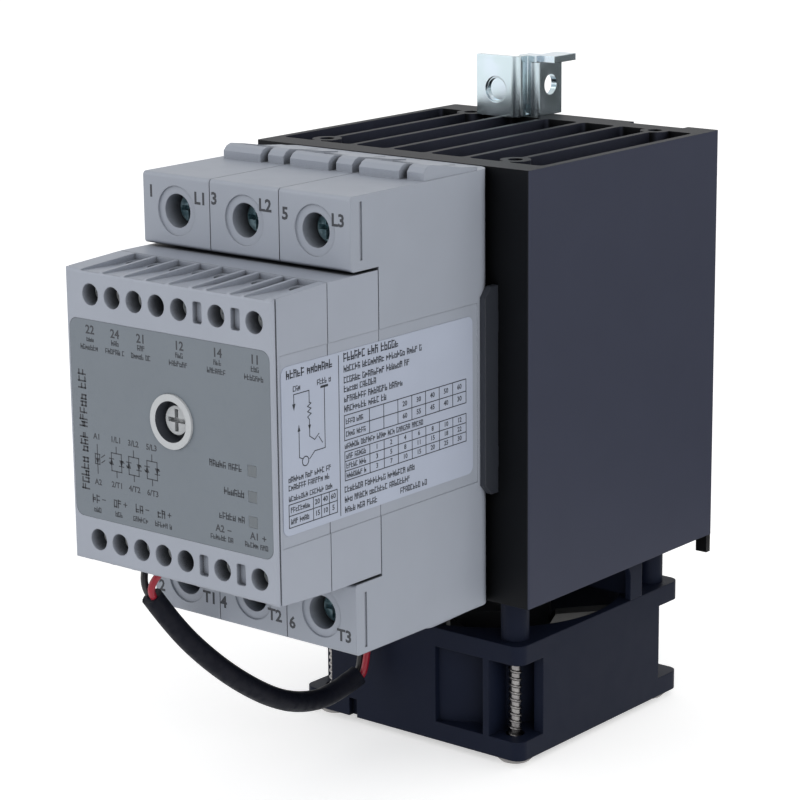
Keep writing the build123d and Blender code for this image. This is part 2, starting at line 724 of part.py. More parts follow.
def wire_ramp(x, width, window):
    """Cut for one wire ramp in the cover's top, with its window if it has one."""
    y0 = Y_COVER + RAMP_START
    y1 = WIRE_WINDOW_Y - CTRL_WIRE_D / 2
    y2 = WIRE_WINDOW_Y + CTRL_WIRE_D / 2
    top = CONTROL_Z + CUT
    points = [(y0, cover_surface(y0) - RAMP_STEP), (y1, cover_surface(y1) - RAMP_DROP),
              (y2, cover_surface(y2) - RAMP_DROP), (y2, top), (y0, top)]
    cut = side_profile(points, x - width / 2, x + width / 2)
    if window:
        bottom = CONTROL_Z - COVER_SHELF - COVER_TAPER - CUT / 2
        cut += rod(CTRL_WIRE_R, (x, WIRE_WINDOW_Y, bottom), (x, WIRE_WINDOW_Y, top))
    return cut


def front_cover():
    """Tapered front cover with screw wells, ramps, label recess and windows."""
    half = CONTROL_W / 2
    y1 = Y_BASE - CONTROL_GAP
    points = [(Y_COVER, -COVER_Z), (Y_COVER, COVER_Z), (y1, cover_surface(y1)), (y1, -cover_surface(y1))]
    body = side_profile(points, -half, half)
    front = body.edges().filter_by(lambda e: e.center().Y < Y_COVER + 0.1)
    body = fillet(front, COVER_EDGE_R)
    inner = COVER_Z - COVER_SHELF
    side = half - CONTROL_WALL
    block = COVER_Z - CTRL_BLOCK_H
    body -= box(-side, side, Y_COVER + COVER_FRONT, y1 + CUT, -block, block)
    body -= box(-side, side, Y_COVER + CTRL_BLOCK_D, y1 + CUT, -inner, inner)
    well_z = COVER_Z - CTRL_WELL_EDGE
    for sign, blank in ((1, CTRL_BLANK_UP), (-1, CTRL_BLANK_LOW)):
        for index, place in enumerate(CTRL_PLACES):
            x = control_x(place)
            body -= rod_y(CTRL_WELL_R, x, sign * well_z, Y_COVER - CUT, Y_COVER + CTRL_WELL_DEPTH)
            ramp = wire_ramp(x, CTRL_WIRE_W, True)
            body -= ramp if sign > 0 else mirror(ramp, Plane.XY)
            if index != blank:
                bore = CTRL_SCREW_R + CTRL_PLAY
                body -= rod_y(bore, x, sign * well_z, Y_COVER, Y_COVER + CTRL_BLOCK_D + CUT)
        for place in CTRL_SLOTS:
            x = control_x(place)
            mouth = Pos(x, well_z) * RectangleRounded(CODE_SLOT_W, CODE_SLOT_H, CODE_SLOT_R)
            slot = extrude(Plane.XZ.offset(-Y_COVER) * mouth, -CODE_SLOT_DEPTH)
            ramp = wire_ramp(x, CODE_RAMP_W, False)
            for cut in (slot, ramp):
                body -= cut if sign > 0 else mirror(cut, Plane.XY)
    body -= rod_y(TRIM_RING_R + LABEL_PLAY, TRIM_X, TRIM_Z, Y_COVER - CUT, Y_COVER + COVER_FRONT + CUT)
    for z in STATUS_ZS:
        body -= status_box(z, STATUS_SIDE / 2 + LABEL_PLAY, Y_COVER - CUT, Y_COVER + COVER_FRONT + CUT)
    y = Y_COVER + EDGE_LINE_BACK
    for x in (-half, half):
        body -= box(x - EDGE_LINE_DEPTH, x + EDGE_LINE_DEPTH, y, y + EDGE_LINE_W, -CONTROL_Z, CONTROL_Z)
    return body - label_solid(LABEL_PLAY) - side_recess()


def label_solid(play):
    """Front label's plate, or with some play its recess."""
    face = RectangleRounded(LABEL_W + 2 * play, LABEL_H + 2 * play, LABEL_R)
    return extrude(Plane.XZ.offset(-Y_COVER) * Pos(0, LABEL_Z) * face, -LABEL_T)


def status_box(z, half, y0, y1):
    """Square prism at one status window."""
    return box(STATUS_X - half, STATUS_X + half, y0, y1, z - half, z + half)


def front_label():
    """Printed label in the cover's recess."""
    body = label_solid(0)
    body -= rod_y(TRIM_RING_R + LABEL_PLAY, TRIM_X, TRIM_Z, Y_COVER - CUT, Y_COVER + CUT)
    for z in STATUS_ZS:
        body -= status_box(z, STATUS_SIDE / 2 + LABEL_PLAY, Y_COVER - CUT, Y_COVER + CUT)
    return body


def side_label():
    """Printed label in the right side's recess, across the control module and the pole."""
    x = CONTROL_W / 2 - SIDE_LABEL_T
    y0 = Y_SEAT - SIDE_LABEL_Y[0]
    y1 = Y_SEAT - SIDE_LABEL_Y[1]
    face = Plane.YZ.offset(x) * Pos((y0 + y1) / 2, 0) * RectangleRounded(y1 - y0, SIDE_LABEL_H, SIDE_LABEL_R)
    return extrude(face, SIDE_LABEL_T)


def light_pipes():
    """Clear status windows, each a bar from the label to its diode."""
    return [status_box(z, STATUS_SIDE / 2, Y_COVER, Y_CTRL_BOARD - DIODE_T) for z in STATUS_ZS]


def status_diodes():
    """Light-emitting diodes on the control board."""
    return [status_box(z, DIODE_SIDE / 2, Y_CTRL_BOARD - DIODE_T, Y_CTRL_BOARD) for z in STATUS_ZS]


def trimmer_body():
    """Trimmer's ring and barrel, from the cover's face to the control board."""
    y0 = Y_COVER - TRIM_PROUD
    body = rod_y(TRIM_RING_R, TRIM_X, TRIM_Z, y0, Y_CTRL_BOARD)
    body -= rod_y(TRIM_BORE_R, TRIM_X, TRIM_Z, y0 - CUT, Y_COVER + TRIM_FLOOR)
    y_seat = Y_COVER + KNOB_DEPTH + KNOB_T + KNOB_PLAY
    body -= rod_y(KNOB_R + KNOB_PLAY, TRIM_X, TRIM_Z, Y_COVER, y_seat)
    return body - rod_y(KNOB_NECK_R + RUN, TRIM_X, TRIM_Z, Y_COVER, y_seat + KNOB_NECK_L)


def trimmer_knob():
    """Turning knob with a cross slot."""
    y0 = Y_COVER + KNOB_DEPTH
    knob = rod_y(KNOB_R, TRIM_X, TRIM_Z, y0, y0 + KNOB_T)
    knob += rod_y(KNOB_NECK_R, TRIM_X, TRIM_Z, y0 + KNOB_T, y0 + KNOB_T + KNOB_NECK_L)
    slot = Box(KNOB_SLOT_L, 2 * KNOB_SLOT_DEPTH, KNOB_SLOT_W)
    for angle in (0, 90):
        knob -= Pos(TRIM_X, y0, TRIM_Z) * Rot(0, angle, 0) * slot
    return knob


def control_rows():
    """Each used control well as (x, sign)."""
    for sign, blank in ((1, CTRL_BLANK_UP), (-1, CTRL_BLANK_LOW)):
        for index, place in enumerate(CTRL_PLACES):
            if index != blank:
                yield control_x(place), sign


def control_screws():
    """Cross-slotted clamp screws of both rows."""
    screws = []
    y0 = Y_COVER + CTRL_WELL_DEPTH
    for x, sign in control_rows():
        z = sign * (COVER_Z - CTRL_WELL_EDGE)
        screw = rod_y(CTRL_HEAD_R, x, z, y0 - CTRL_HEAD_T, y0)
        screw += rod_y(CTRL_SCREW_R, x, z, y0, y0 + CTRL_SCREW_LEN)
        for angle in (45, 135):
            slot = Box(CTRL_CROSS_L, 2 * CTRL_CROSS_DEPTH, CTRL_CROSS_W)
            screw -= Pos(x, y0 - CTRL_HEAD_T, z) * Rot(0, angle, 0) * slot
        screws.append(screw)
    return screws


def control_clamps():
    """Small box clamps behind the control screws."""
    clamps = []
    for x, sign in control_rows():
        z = sign * (COVER_Z - CTRL_WELL_EDGE)
        y0 = Y_COVER + CTRL_BLOCK_D + CTRL_CLAMP_CLEAR
        half = CTRL_CLAMP_W / 2
        clamp = box(x - half, x + half, y0, y0 + CTRL_CLAMP_D, z - CTRL_CLAMP_H / 2, z + CTRL_CLAMP_H / 2)
        clamp -= box(x - half + CTRL_CLAMP_WALL, x + half - CTRL_CLAMP_WALL, y0 + CTRL_CLAMP_NUT,
                     y0 + CTRL_CLAMP_D - CTRL_CLAMP_WALL, z - CTRL_CLAMP_H, z + CTRL_CLAMP_H)
        clamps.append(clamp - rod_y(CTRL_SCREW_R, x, z, y0 - CUT, y0 + CTRL_CLAMP_NUT + CUT))
    return clamps


def control_pins():
    """Contact tongues through the clamps, with legs back to the control board."""
    pins = []
    for x, sign in control_rows():
        well = COVER_Z - CTRL_WELL_EDGE
        y0 = Y_COVER + CTRL_WELL_DEPTH + CTRL_SCREW_LEN
        foot = well - PIN_DROP
        tongue = box(x - PIN_W / 2, x + PIN_W / 2, y0, y0 + PIN_T, foot, COVER_Z - COVER_SHELF)
        leg = box(x - PIN_T / 2, x + PIN_T / 2, y0, Y_CTRL_BOARD, foot, foot + PIN_T)
        pin = tongue + leg
        pins.append(pin if sign > 0 else mirror(pin, Plane.XY))
    return pins


def control_board():
    """Main circuit board of the control module."""
    half = CONTROL_W / 2 - CONTROL_WALL
    z = CONTROL_Z - CONTROL_WALL
    return box(-half, half, Y_CTRL_BOARD, Y_CTRL_BOARD + BOARD_T, -z, z)


def output_relays():
    """Two small relays for the auxiliary and alarm outputs."""
    half = RELAY_W / 2
    return [box(RELAY_X - half, RELAY_X + half, Y_CTRL_BOARD - RELAY_D, Y_CTRL_BOARD, z, z + RELAY_H)
            for z in RELAY_ZS]


def link_window(x):
    """Passage for one board link, through the base's rear wall and the pole's front wall."""
    half = LINK / 2 + LINK_PLAY
    return box(x - half, x + half, Y_BODY - CONTROL_WALL - CUT, Y_SHOULDER + SHOULDER_T + CUT,
               LINK_Z - half, LINK_Z + half)


def board_links():
    """Pin headers from the control board into each pole."""
    half = LINK / 2
    return [box(x - half, x + half, Y_CTRL_BOARD + BOARD_T, Y_BOARD - BOARD_T, LINK_Z - half, LINK_Z + half)
            for x in POLE_XS]


# ---- Fan -------------------------------------------------------------------

def fan_flange(z0, z1):
    """Square flange with the air bore and four screw holes."""
    face = RectangleRounded(FAN, FAN, FAN_CORNER_R) - Circle(FAN_BORE_R)
    for x, y in fan_corners():
        face -= Pos(x, y - FAN_Y) * Circle(SELF_TAP_R + FAN_HOLE_PLAY)
    return plate(Pos(0, FAN_Y) * face, z0, z1)


def fan_frame():
    """Frame: two flanges, round duct, flush walls, struts and bearing tube."""
    frame = fan_flange(FAN_BOT, FAN_BOT + FAN_FLANGE_T) + fan_flange(FAN_TOP - FAN_FLANGE_T, FAN_TOP)
    half = FAN / 2
    flat = FAN_FLAT / 2
    wall = Circle(FAN_WALL_R)
    for angle in (0, 90, 180):
        wall += Rot(0, 0, angle) * Pos(half - FAN_FLAT_T / 2, 0) * Rectangle(FAN_FLAT_T, FAN_FLAT)
    front = Rectangle(FRONT_WALL_END + flat, FAN_FLAT_T)
    wall += Pos((FRONT_WALL_END - flat) / 2, -half + FAN_FLAT_T / 2) * front
    wall += Pos(flat - RIB_W / 2, -half + RIB_D / 2) * Rectangle(RIB_W, RIB_D)
    wall -= Circle(FAN_BORE_R)
    frame += plate(Pos(0, FAN_Y) * wall, FAN_BOT + FAN_FLANGE_T, FAN_TOP - FAN_FLANGE_T)
    hub = Circle(HUB_R)
    for angle in (45, 135, 225, 315):
        strut = Rectangle(FAN_BORE_R - HUB_R + STRUT_W, STRUT_W)
        hub += Rot(0, 0, angle) * Pos((FAN_BORE_R + HUB_R) / 2, 0) * strut
    frame += plate(Pos(0, FAN_Y) * hub, FAN_BOT, FAN_BOT + HUB_T)
    frame += rod_z(TUBE_R, 0, FAN_Y, FAN_BOT, FAN_BOT + TUBE_H)
    frame -= rod_z(BEARING_R, 0, FAN_Y, FAN_BOT + HUB_T / 2, FAN_BOT + TUBE_H)
    notch = box(FAN_NOTCH_X - NOTCH_W / 2, FAN_NOTCH_X + NOTCH_W / 2, FAN_Y - half, FAN_Y - half + NOTCH_D,
                FAN_BOT, FAN_BOT + FAN_FLANGE_T)
    port_x = (lead_end() + lead_end_direction() * TAIL_STRAIGHT).X
    port = box(port_x - PORT_W / 2, port_x + PORT_W / 2, FAN_Y - half - CUT, FAN_Y - half + FAN_FLAT_T + CUT,
               LEAD_ENTRY_Z - PORT_H / 2, LEAD_ENTRY_Z + PORT_H / 2)
    return frame - notch - port


def fan_rotor():
    """Rotor cup with its blades."""
    z0 = ROTOR_BOT
    z1 = ROTOR_TOP
    cup = rod_z(ROTOR_CUP_R, 0, FAN_Y, z0, z1)
    cup -= rod_z(ROTOR_CUP_R - CUP_WALL, 0, FAN_Y, z0 - CUT, z1 - CUP_TOP)
    cup += rod_z(ROTOR_BOSS_R, 0, FAN_Y, z1 - ROTOR_BOSS_H, z1 - CUP_TOP / 2)
    mid = (z0 + z1) / 2
    swept = rod_z(ROTOR_R, 0, FAN_Y, z0 + BLADE_INSET, z1 - BLADE_INSET)
    swept -= rod_z(ROTOR_CUP_R - CUP_WALL / 2, 0, FAN_Y, z0, z1)
    for index in range(BLADES):
        blade = Box(ROTOR_R - ROTOR_CUP_R + 2 * BLADE_T, BLADE_T, FAN_T)
        blade = Pos((ROTOR_R + ROTOR_CUP_R) / 2, 0, 0) * Rot(BLADE_PITCH, 0, 0) * blade
        blade = Pos(0, FAN_Y, mid) * Rot(0, 0, index * 360 / BLADES) * blade
        cup += blade & swept
    return cup - rod_z(SHAFT_R, 0, FAN_Y, z1 - ROTOR_BOSS_H - CUT, shaft_top())


def shaft_top():
    """Top of the shaft, inside the rotor's boss."""
    return ROTOR_TOP - CUP_TOP / 2 - BLIND / 2


def fan_shaft():
    """Steel shaft fixed in the rotor, with a groove for its retaining ring."""
    z0 = FAN_BOT + SHAFT_FOOT
    shaft = rod_z(SHAFT_R, 0, FAN_Y, z0, shaft_top())
    z_groove = z0 + RING_T
    groove = rod_z(SHAFT_R + CUT, 0, FAN_Y, z_groove, z_groove + RING_T + 2 * RUN)
    return shaft - (groove - rod_z(SHAFT_R - GROOVE_DEPTH_R, 0, FAN_Y, z0, z0 + 4 * RING_T))


def retaining_ring():
    """Split ring in the shaft's groove."""
    z0 = FAN_BOT + SHAFT_FOOT + RING_T + RUN
    ring = rod_z(RING_R, 0, FAN_Y, z0, z0 + RING_T)
    ring -= rod_z(SHAFT_R - GROOVE_DEPTH_R + RUN, 0, FAN_Y, z0 - CUT, z0 + CUT)
    return ring - box(0, RING_R + CUT, FAN_Y - RING_T, FAN_Y + RING_T, z0, z0 + CUT)


def fan_bearings():
    """Two bearings in the frame's tube."""
    rings = []
    for z in (FAN_BOT + BEARING_FOOT, FAN_BOT + TUBE_H - BEARING_T - BEARING_INSET):
        ring = rod_z(BEARING_R, 0, FAN_Y, z, z + BEARING_T)
        rings.append(ring - rod_z(SHAFT_R + RUN, 0, FAN_Y, z - CUT, z + BEARING_T + CUT))
    return rings


def fan_stator():
    """Four-pole stator on the bearing tube."""
    face = Circle(TUBE_R + STATOR_CORE)
    reach = STATOR_R - SHOE_T
    for angle in (0, 90, 180, 270):
        tooth = Rectangle(reach - TUBE_R + SHOE_T, POLE_TOOTH)
        face += Rot(0, 0, angle) * Pos((TUBE_R + reach) / 2, 0) * tooth
        face += Rot(0, 0, angle) * Pos(reach + SHOE_T / 2, 0) * Rectangle(SHOE_T, SHOE_W)
    face -= Circle(TUBE_R + FIT)
    return plate(Pos(0, FAN_Y) * face, FAN_BOT + STATOR_Z, FAN_BOT + STATOR_Z + STATOR_H)


def rotor_magnet():
    """Ring magnet inside the rotor cup."""
    z0 = ROTOR_BOT + BLADE_INSET
    radius = ROTOR_CUP_R - CUP_WALL
    ring = rod_z(radius, 0, FAN_Y, z0, z0 + MAGNET_H)
    return ring - rod_z(radius - MAGNET_T, 0, FAN_Y, z0 - CUT, z0 + MAGNET_H + CUT)


def fan_board():
    """Round driver board below the stator."""
    z0 = FAN_BOT + HUB_T
    board = rod_z(FAN_BOARD_R, 0, FAN_Y, z0, z0 + FAN_BOARD_T)
    return board - rod_z(TUBE_R + FIT, 0, FAN_Y, z0 - CUT, z0 + FAN_BOARD_T + CUT)


def fan_screws():
    """Four long screws, up through the fan and spacers into the heat sink."""
    screws = []
    for x, y in fan_corners():
        head = rod_z(TAP_HEAD_R, x, y, FAN_BOT - TAP_HEAD_T, FAN_BOT)
        head = fillet(head.edges().filter_by(GeomType.CIRCLE).sort_by(Axis.Z)[0], TAP_HEAD_EDGE)
        for angle in (0, 90):
            cross = Box(TAP_CROSS_L, TAP_CROSS_W, 2 * TAP_CROSS_DEPTH)
            head -= Pos(x, y, FAN_BOT - TAP_HEAD_T) * Rot(0, 0, angle) * cross
        screws.append(head + rod_z(SELF_TAP_R - SELF_TAP_PLAY, x, y, FAN_BOT, Z_BOT + SELF_TAP_DEPTH))
    return screws


def fan_spacers():
    """Tubes that hold the fan off the heat sink."""
    bore = SELF_TAP_R + SPACER_PLAY
    return [rod_z(SPACER_R, x, y, FAN_TOP, Z_BOT) - rod_z(bore, x, y, FAN_TOP - CUT, Z_BOT + CUT)
            for x, y in fan_corners()]


def fan_duct():
    """Air duct between fan and heat sink: two arched side walls and a cross wall."""
    y0 = FAN_Y - DUCT_FRONT
    y1 = FAN_Y + DUCT_REAR
    half = FAN / 2
    duct = box(-half, half, y0, y1, FAN_TOP, Z_BOT)
    duct -= box(-half + DUCT_T, half - DUCT_T, y0 - CUT, y1 - DUCT_T, FAN_TOP - CUT, Z_BOT + CUT)
    y_arch = (y0 - ARCH_R + y1 - DUCT_STRIP) / 2
    z_arch = (FAN_TOP - ARCH_R + Z_BOT - DUCT_RIM) / 2
    face = RectangleRounded(y1 - DUCT_STRIP - y0 + ARCH_R, Z_BOT - DUCT_RIM - FAN_TOP + ARCH_R, ARCH_R)
    return duct - extrude(Plane.YZ.offset(-FAN) * Pos(y_arch, z_arch) * face, 2 * FAN)


# ---- Rail and earth fittings -----------------------------------------------

def sheet_path(points, z0, z1):
    """Folded sheet standing on edge: a plan path thickened to one side."""
    path = Polyline(*[(x, y) for x, y in points])
    return plate(trace(path, STEEL), z0, z1)


def bracket_edge():
    """Path of the bracket's upright sheet, seen from above, with rounded folds."""
    x_web = TAB_X + TAB_W
    points = [(TAB_X, -TAB_BACK), (x_web, -TAB_BACK), (x_web, -WEB_BACK), (SIDE_X, -WEB_BACK),
              (SIDE_X, SIDE_BEHIND)]
    return FilletPolyline(*points, radius=BEND_R)


def earth_bracket():
    """Folded earth bracket: tapped tab in front, flanges on top, leg in the left groove."""
    x_web = TAB_X + TAB_W
    top = Z_TOP + BRACKET_H
    half = STEEL / 2
    leg_y = -GROOVE_DEPTH + half
    bracket = plate(trace(bracket_edge(), STEEL), Z_TOP, top)
    bracket += rail_leg(-GROOVE_X, Z_TOP + FOOT_H)
    bracket += box(-GROOVE_X, SIDE_X + half, leg_y - half, leg_y + half, Z_TOP, Z_TOP + FOOT_H)
    bracket += box(FLANGE_X, SIDE_X + half, -WEB_BACK - half, -WEB_BACK + FLANGE_IN, top - STEEL, top)
    bracket += box(SIDE_X - half, SIDE_X + FLANGE_OUT, -WEB_BACK + half, SIDE_BEHIND, top - STEEL, top)
    leaf_top = Z_TOP + BACK_LEAF_H
    bracket += box(BACK_LEAF_X, BACK_LEAF_X + BACK_LEAF_W, leg_y - half, leg_y + half, Z_TOP, leaf_top)
    nub_top = leaf_top + NUB_H
    bracket += box(BACK_LEAF_X, BACK_LEAF_X + NUB_W, leg_y - half, leg_y + half, leaf_top - CUT, nub_top)
    hole_x = (TAB_X + x_web) / 2
    hole_z = Z_TOP + EARTH_HOLE_Z
    bracket -= rod_y(EARTH_HOLE_R, hole_x, hole_z, -TAB_BACK - STEEL, -TAB_BACK + STEEL)
    bracket -= rod_y(EARTH_SINK_R, hole_x, hole_z, -TAB_BACK - half - CUT, -TAB_BACK - half + EARTH_SINK)
    y = -SIDE_HOLE_BACK
    z = Z_TOP + SIDE_HOLE_Z
    bracket -= rod(SIDE_HOLE_R, (SIDE_X - STEEL, y, z), (SIDE_X + STEEL, y, z))
    bracket -= rod_y(NOTCH_R, SIDE_X - half - NOTCH_R, Z_TOP + NOTCH_Z, -WEB_BACK - STEEL, -WEB_BACK + STEEL)
    for x, screw_z in rail_screw_places():
        if x < 0:
            bracket -= rod_y(RAIL_SCREW_R + SCREW_FIT, x, screw_z, -GROOVE_DEPTH - CUT, CUT)
    return bracket


def rail_leg(x, top):
    """Leg in a rear groove, ending in a hook over the rail's upper edge."""
    half = GROOVE_W / 2 - LEG_PLAY
    leg = box(x - half, x + half, -GROOVE_DEPTH, -GROOVE_DEPTH + STEEL, LEG_Z, top)
    leg += box(x - half, x + half, -GROOVE_DEPTH, HOOK_REACH, LEG_Z, LEG_Z + STEEL)
    return leg + box(x - half, x + half, HOOK_REACH - STEEL, HOOK_REACH, LEG_Z - HOOK_LIP, LEG_Z + STEEL)


def rail_hook():
    """Second hook, in the right groove."""
    hook = rail_leg(GROOVE_X, Z_TOP - HOOK_TOP)
    for x, screw_z in rail_screw_places():
        if x > 0:
            hook -= rod_y(RAIL_SCREW_R + SCREW_FIT, x, screw_z, -GROOVE_DEPTH - CUT, CUT)
    return hook


def rail_screw_places():
    """Screws of the two hook legs, and the two guide screws of the latch."""
    legs = [(sx * GROOVE_X, z) for sx in (-1, 1) for z in LEG_SCREW_Z]
    guides = [(sx * GUIDE_X, Z_BOT + GUIDE_Z) for sx in (-1, 1)]
    return legs + guides


def rail_screws():
    """Low-head screws that hold the hook legs in their grooves."""
    screws = []
    for x, z in rail_screw_places():
        if abs(x) == GROOVE_X:
            y_face = -GROOVE_DEPTH + STEEL
            shank = rod_y(RAIL_SCREW_R, x, z, -SINK_REAR + 2 * BLIND, y_face)
            screws.append(shank + rod_y(RAIL_HEAD_R, x, z, y_face, y_face + RAIL_HEAD_T))
    return screws


def latch_guides():
    """Shoulder screws that the latch slides on."""
    screws = []
    for x, z in rail_screw_places():
        if abs(x) == GUIDE_X:
            y_head = LATCH_GAP + STEEL + GUIDE_GAP
            shank = rod_y(RAIL_SCREW_R, x, z, -SINK_REAR + 2 * BLIND, y_head)
            screws.append(shank + rod_y(GUIDE_HEAD_R, x, z, y_head, y_head + GUIDE_HEAD_T))
    return screws


def guide_slot(x):
    """Cut for a guide screw, as long as the latch's travel."""
    z = Z_BOT + GUIDE_Z
    radius = RAIL_SCREW_R + SCREW_FIT
    slot = box(x - radius, x + radius, LATCH_GAP - CUT, LATCH_GAP + STEEL + CUT, z, z + LATCH_TRAVEL)
    for end in (z, z + LATCH_TRAVEL):
        slot += rod_y(radius, x, end, LATCH_GAP - CUT, LATCH_GAP + STEEL + CUT)
    return slot


def rail_latch():
    """Sprung latch behind the lower edge: catch above, prongs below."""
    y0 = LATCH_GAP
    y1 = y0 + STEEL
    half = LATCH_W / 2
    catch = CATCH_W / 2
    low = Z_BOT + LATCH_RISE
    latch = box(-half, half, y0, y1, low, low + LATCH_H)
    latch += box(-catch, catch, y0, y1, low, CATCH_Z)
    latch += box(-catch, catch, y0, HOOK_REACH, CATCH_Z - STEEL, CATCH_Z)
    latch += box(-catch, catch, HOOK_REACH - STEEL, HOOK_REACH, CATCH_Z - STEEL, CATCH_Z + HOOK_LIP)
    for side in (-1, 1):
        x = side * (half - PRONG_W / 2)
        latch += box(x - PRONG_W / 2, x + PRONG_W / 2, y0, y1, Z_BOT - PRONG_DROP, low + LATCH_RISE)
        latch -= guide_slot(side * GUIDE_X)
    window = SPRING_R + SPRING_SIDE
    return latch - box(-window, window, y0 - CUT, y1 + CUT, SPRING_Z0 - POST_T - POST_CLEAR, SPRING_Z1)


def latch_spring():
    """Compression spring between its post and the top of the latch's window."""
    height = SPRING_Z1 - SPRING_Z0
    rise = height - 2 * SPRING_WIRE_R - SPRING_END
    centre = (0, SPRING_Y, SPRING_Z0 + SPRING_WIRE_R + SPRING_END / 2)
    coil = Helix(pitch=rise / SPRING_TURNS, height=rise, radius=SPRING_R, center=centre)
    return sweep(Plane(coil @ 0, z_dir=coil % 0) * Circle(SPRING_WIRE_R), path=coil)


def spring_post():
    """Fixed post under the spring, screwed into the rear wall."""
    post = box(-POST_W / 2, POST_W / 2, 0, SPRING_Y + SPRING_R + SPRING_WIRE_R, SPRING_Z0 - POST_T, SPRING_Z0)
    return post + rod_y(POST_STUD_R, 0, SPRING_Z0 - POST_T / 2, -POST_STUD_L, 0)


def side_clips():
    """Two clips that hook the outer poles to the heat sink's sides."""
    clips = []
    for side in (-1, 1):
        x0 = side * CONTROL_W / 2
        x1 = side * (CONTROL_W / 2 + CLIP_T)
        clip = box(x0, x1, Y_SEAT - CLIP_REACH, Y_SEAT, -CLIP_H / 2, CLIP_H / 2)
        long_edges = clip.edges().filter_by(Axis.X)
        clip = chamfer(long_edges.sort_by(Axis.Y)[:2], CLIP_CHAMFER)
        for z in CLIP_LUGS:
            clip += box(x0, x1, Y_SEAT, Y_SEAT + CLIP_FOOT, z - CLIP_FOOT, z + CLIP_FOOT)
        clips.append(clip)
    return clips


# ---- Fan lead --------------------------------------------------------------

def run_lengths(points):
    """Straight distance from each point to the next."""
    return [(Vector(*b) - Vector(*a)).length for a, b in zip(points, points[1:])]


def bend_radii(points):
    """Largest easy radius at each corner of a cord's route."""
    runs = run_lengths(points)
    radii = []
    for index in range(1, len(points) - 1):
        before = Vector(*points[index]) - Vector(*points[index - 1])
        after = Vector(*points[index + 1]) - Vector(*points[index])
        half_turn = math.radians(before.get_angle(after)) / 2
        radii.append(0.45 * min(runs[index - 1], runs[index]) / math.tan(half_turn))
    return radii


def cord(points, diameter):
    """Round cord along straight runs joined by tangent arcs."""
    path = FilletPolyline(*points, radius=bend_radii(points))
    return sweep(Plane(path @ 0, z_dir=path % 0) * Circle(diameter / 2), path=path), path.length


def fan_lead():
    """Black sleeve round the fan's two wires."""
    body, length = cord(LEAD_ROUTE, LEAD_D)
    radii = bend_radii(LEAD_ROUTE)
    print("fan lead: length", round(length, 2), "radii", [round(r, 1) for r in radii])
    print("fan lead: volume", round(body.volume, 2), "section x length",
          round(math.pi * LEAD_D ** 2 / 4 * length, 2))
    return body


def lead_end():
    """Where the sleeve ends, beside the fan."""
    return Vector(*LEAD_ROUTE[-1])


def lead_end_direction():
    """Direction in which the sleeve ends."""
    return (lead_end() - Vector(*LEAD_ROUTE[-2])).normalized()


def lead_wires():
    """Wire tails: two from the lower wire windows to the sleeve, two into the fan."""
    points = [Vector(*point) for point in LEAD_ROUTE]
    back = (points[0] - points[1]).normalized()
    on = lead_end_direction()
    fan_side = FAN_Y - FAN / 2
    tails = []
    for side, place in ((-1, 0), (1, 1)):
        a = points[0] - back.cross(Vector(0, 0, 1)).normalized() * side * TAIL_OFFSET
        b = a + back * TAIL_STRAIGHT
        x = control_x(place)
        low = Vector(x, WIRE_WINDOW_Y, -COVER_Z - TAIL_HANG)
        top = Vector(x, WIRE_WINDOW_Y, -COVER_Z + COVER_SHELF)
        tails.append(cord([a, b, low, top], 2 * WIRE_R)[0])
        c = points[-1] + on.cross(Vector(0, 0, 1)).normalized() * side * TAIL_OFFSET
        d = c + on * TAIL_STRAIGHT
        e = Vector(d.X, fan_side - TAIL_BEND, LEAD_ENTRY_Z - TAIL_DIP)
        tails.append(cord([c, d, e, Vector(d.X, fan_side + 2 * WIRE_R, LEAD_ENTRY_Z)], 2 * WIRE_R)[0])
    return tails


# ---- Everything, by name ---------------------------------------------------

def all_parts():
    """Every sub-part by name; a list is a group of separate solids."""
    parts = {
        "heat_sink": heat_sink(),
        "terminal_bars": terminal_bars(),
        "base_plates": base_plates(),
        "thermal_pads": thermal_pads(),
        "base_screws": base_screws(),
        "ceramic_substrates": ceramics(),
        "thyristor_chips": thyristor_chips(),
        "power_boards": power_boards(),
        "power_leads": power_leads(),
        "varistors": varistors(),
        "control_base": control_base(),
        "front_cover": front_cover(),
        "front_label": front_label(),
        "side_label": side_label(),
        "light_pipes": light_pipes(),
        "status_diodes": status_diodes(),
        "trimmer_body": trimmer_body(),
        "trimmer_knob": trimmer_knob(),
        "control_screws": control_screws(),
        "control_clamps": control_clamps(),
        "control_pins": control_pins(),
        "control_board": control_board(),
        "output_relays": output_relays(),
        "board_links": board_links(),
        "fan_frame": fan_frame(),
        "fan_rotor": fan_rotor(),
        "fan_shaft": fan_shaft(),
        "fan_retaining_ring": retaining_ring(),
        "fan_bearings": fan_bearings(),
        "fan_stator": fan_stator(),
        "fan_magnet": rotor_magnet(),
        "fan_board": fan_board(),
        "fan_screws": fan_screws(),
        "fan_spacers": fan_spacers(),
        "fan_duct": fan_duct(),
        "earth_bracket": earth_bracket(),
        "rail_hook": rail_hook(),
        "rail_screws": rail_screws(),
        "rail_latch": rail_latch(),
        "latch_guides": latch_guides(),
        "latch_spring": latch_spring(),
        "spring_post": spring_post(),
        "side_clips": side_clips(),
        "fan_lead": fan_lead(),
        "lead_wires": lead_wires(),
    }
    for index, x in enumerate(POLE_XS):
        parts[f"pole_housing_{index + 1}"] = pole_housing(x)
        for sign, letter in ((1, "l"), (-1, "t")):
            parts[f"power_screw_{letter}{index + 1}"] = power_screw(x, sign)
            parts[f"power_clamp_{letter}{index + 1}"] = power_clamp(x, sign)
    return parts


def main():
    """Write one STEP file for each sub-part."""
    os.makedirs("parts", exist_ok=True)
    for name, shape in all_parts().items():
        solids = shape if isinstance(shape, list) else [shape]
        flat = [solid for item in solids for solid in item.solids()]
        export_step(Compound(children=flat) if len(flat) > 1 else flat[0], f"parts/{name}.step")


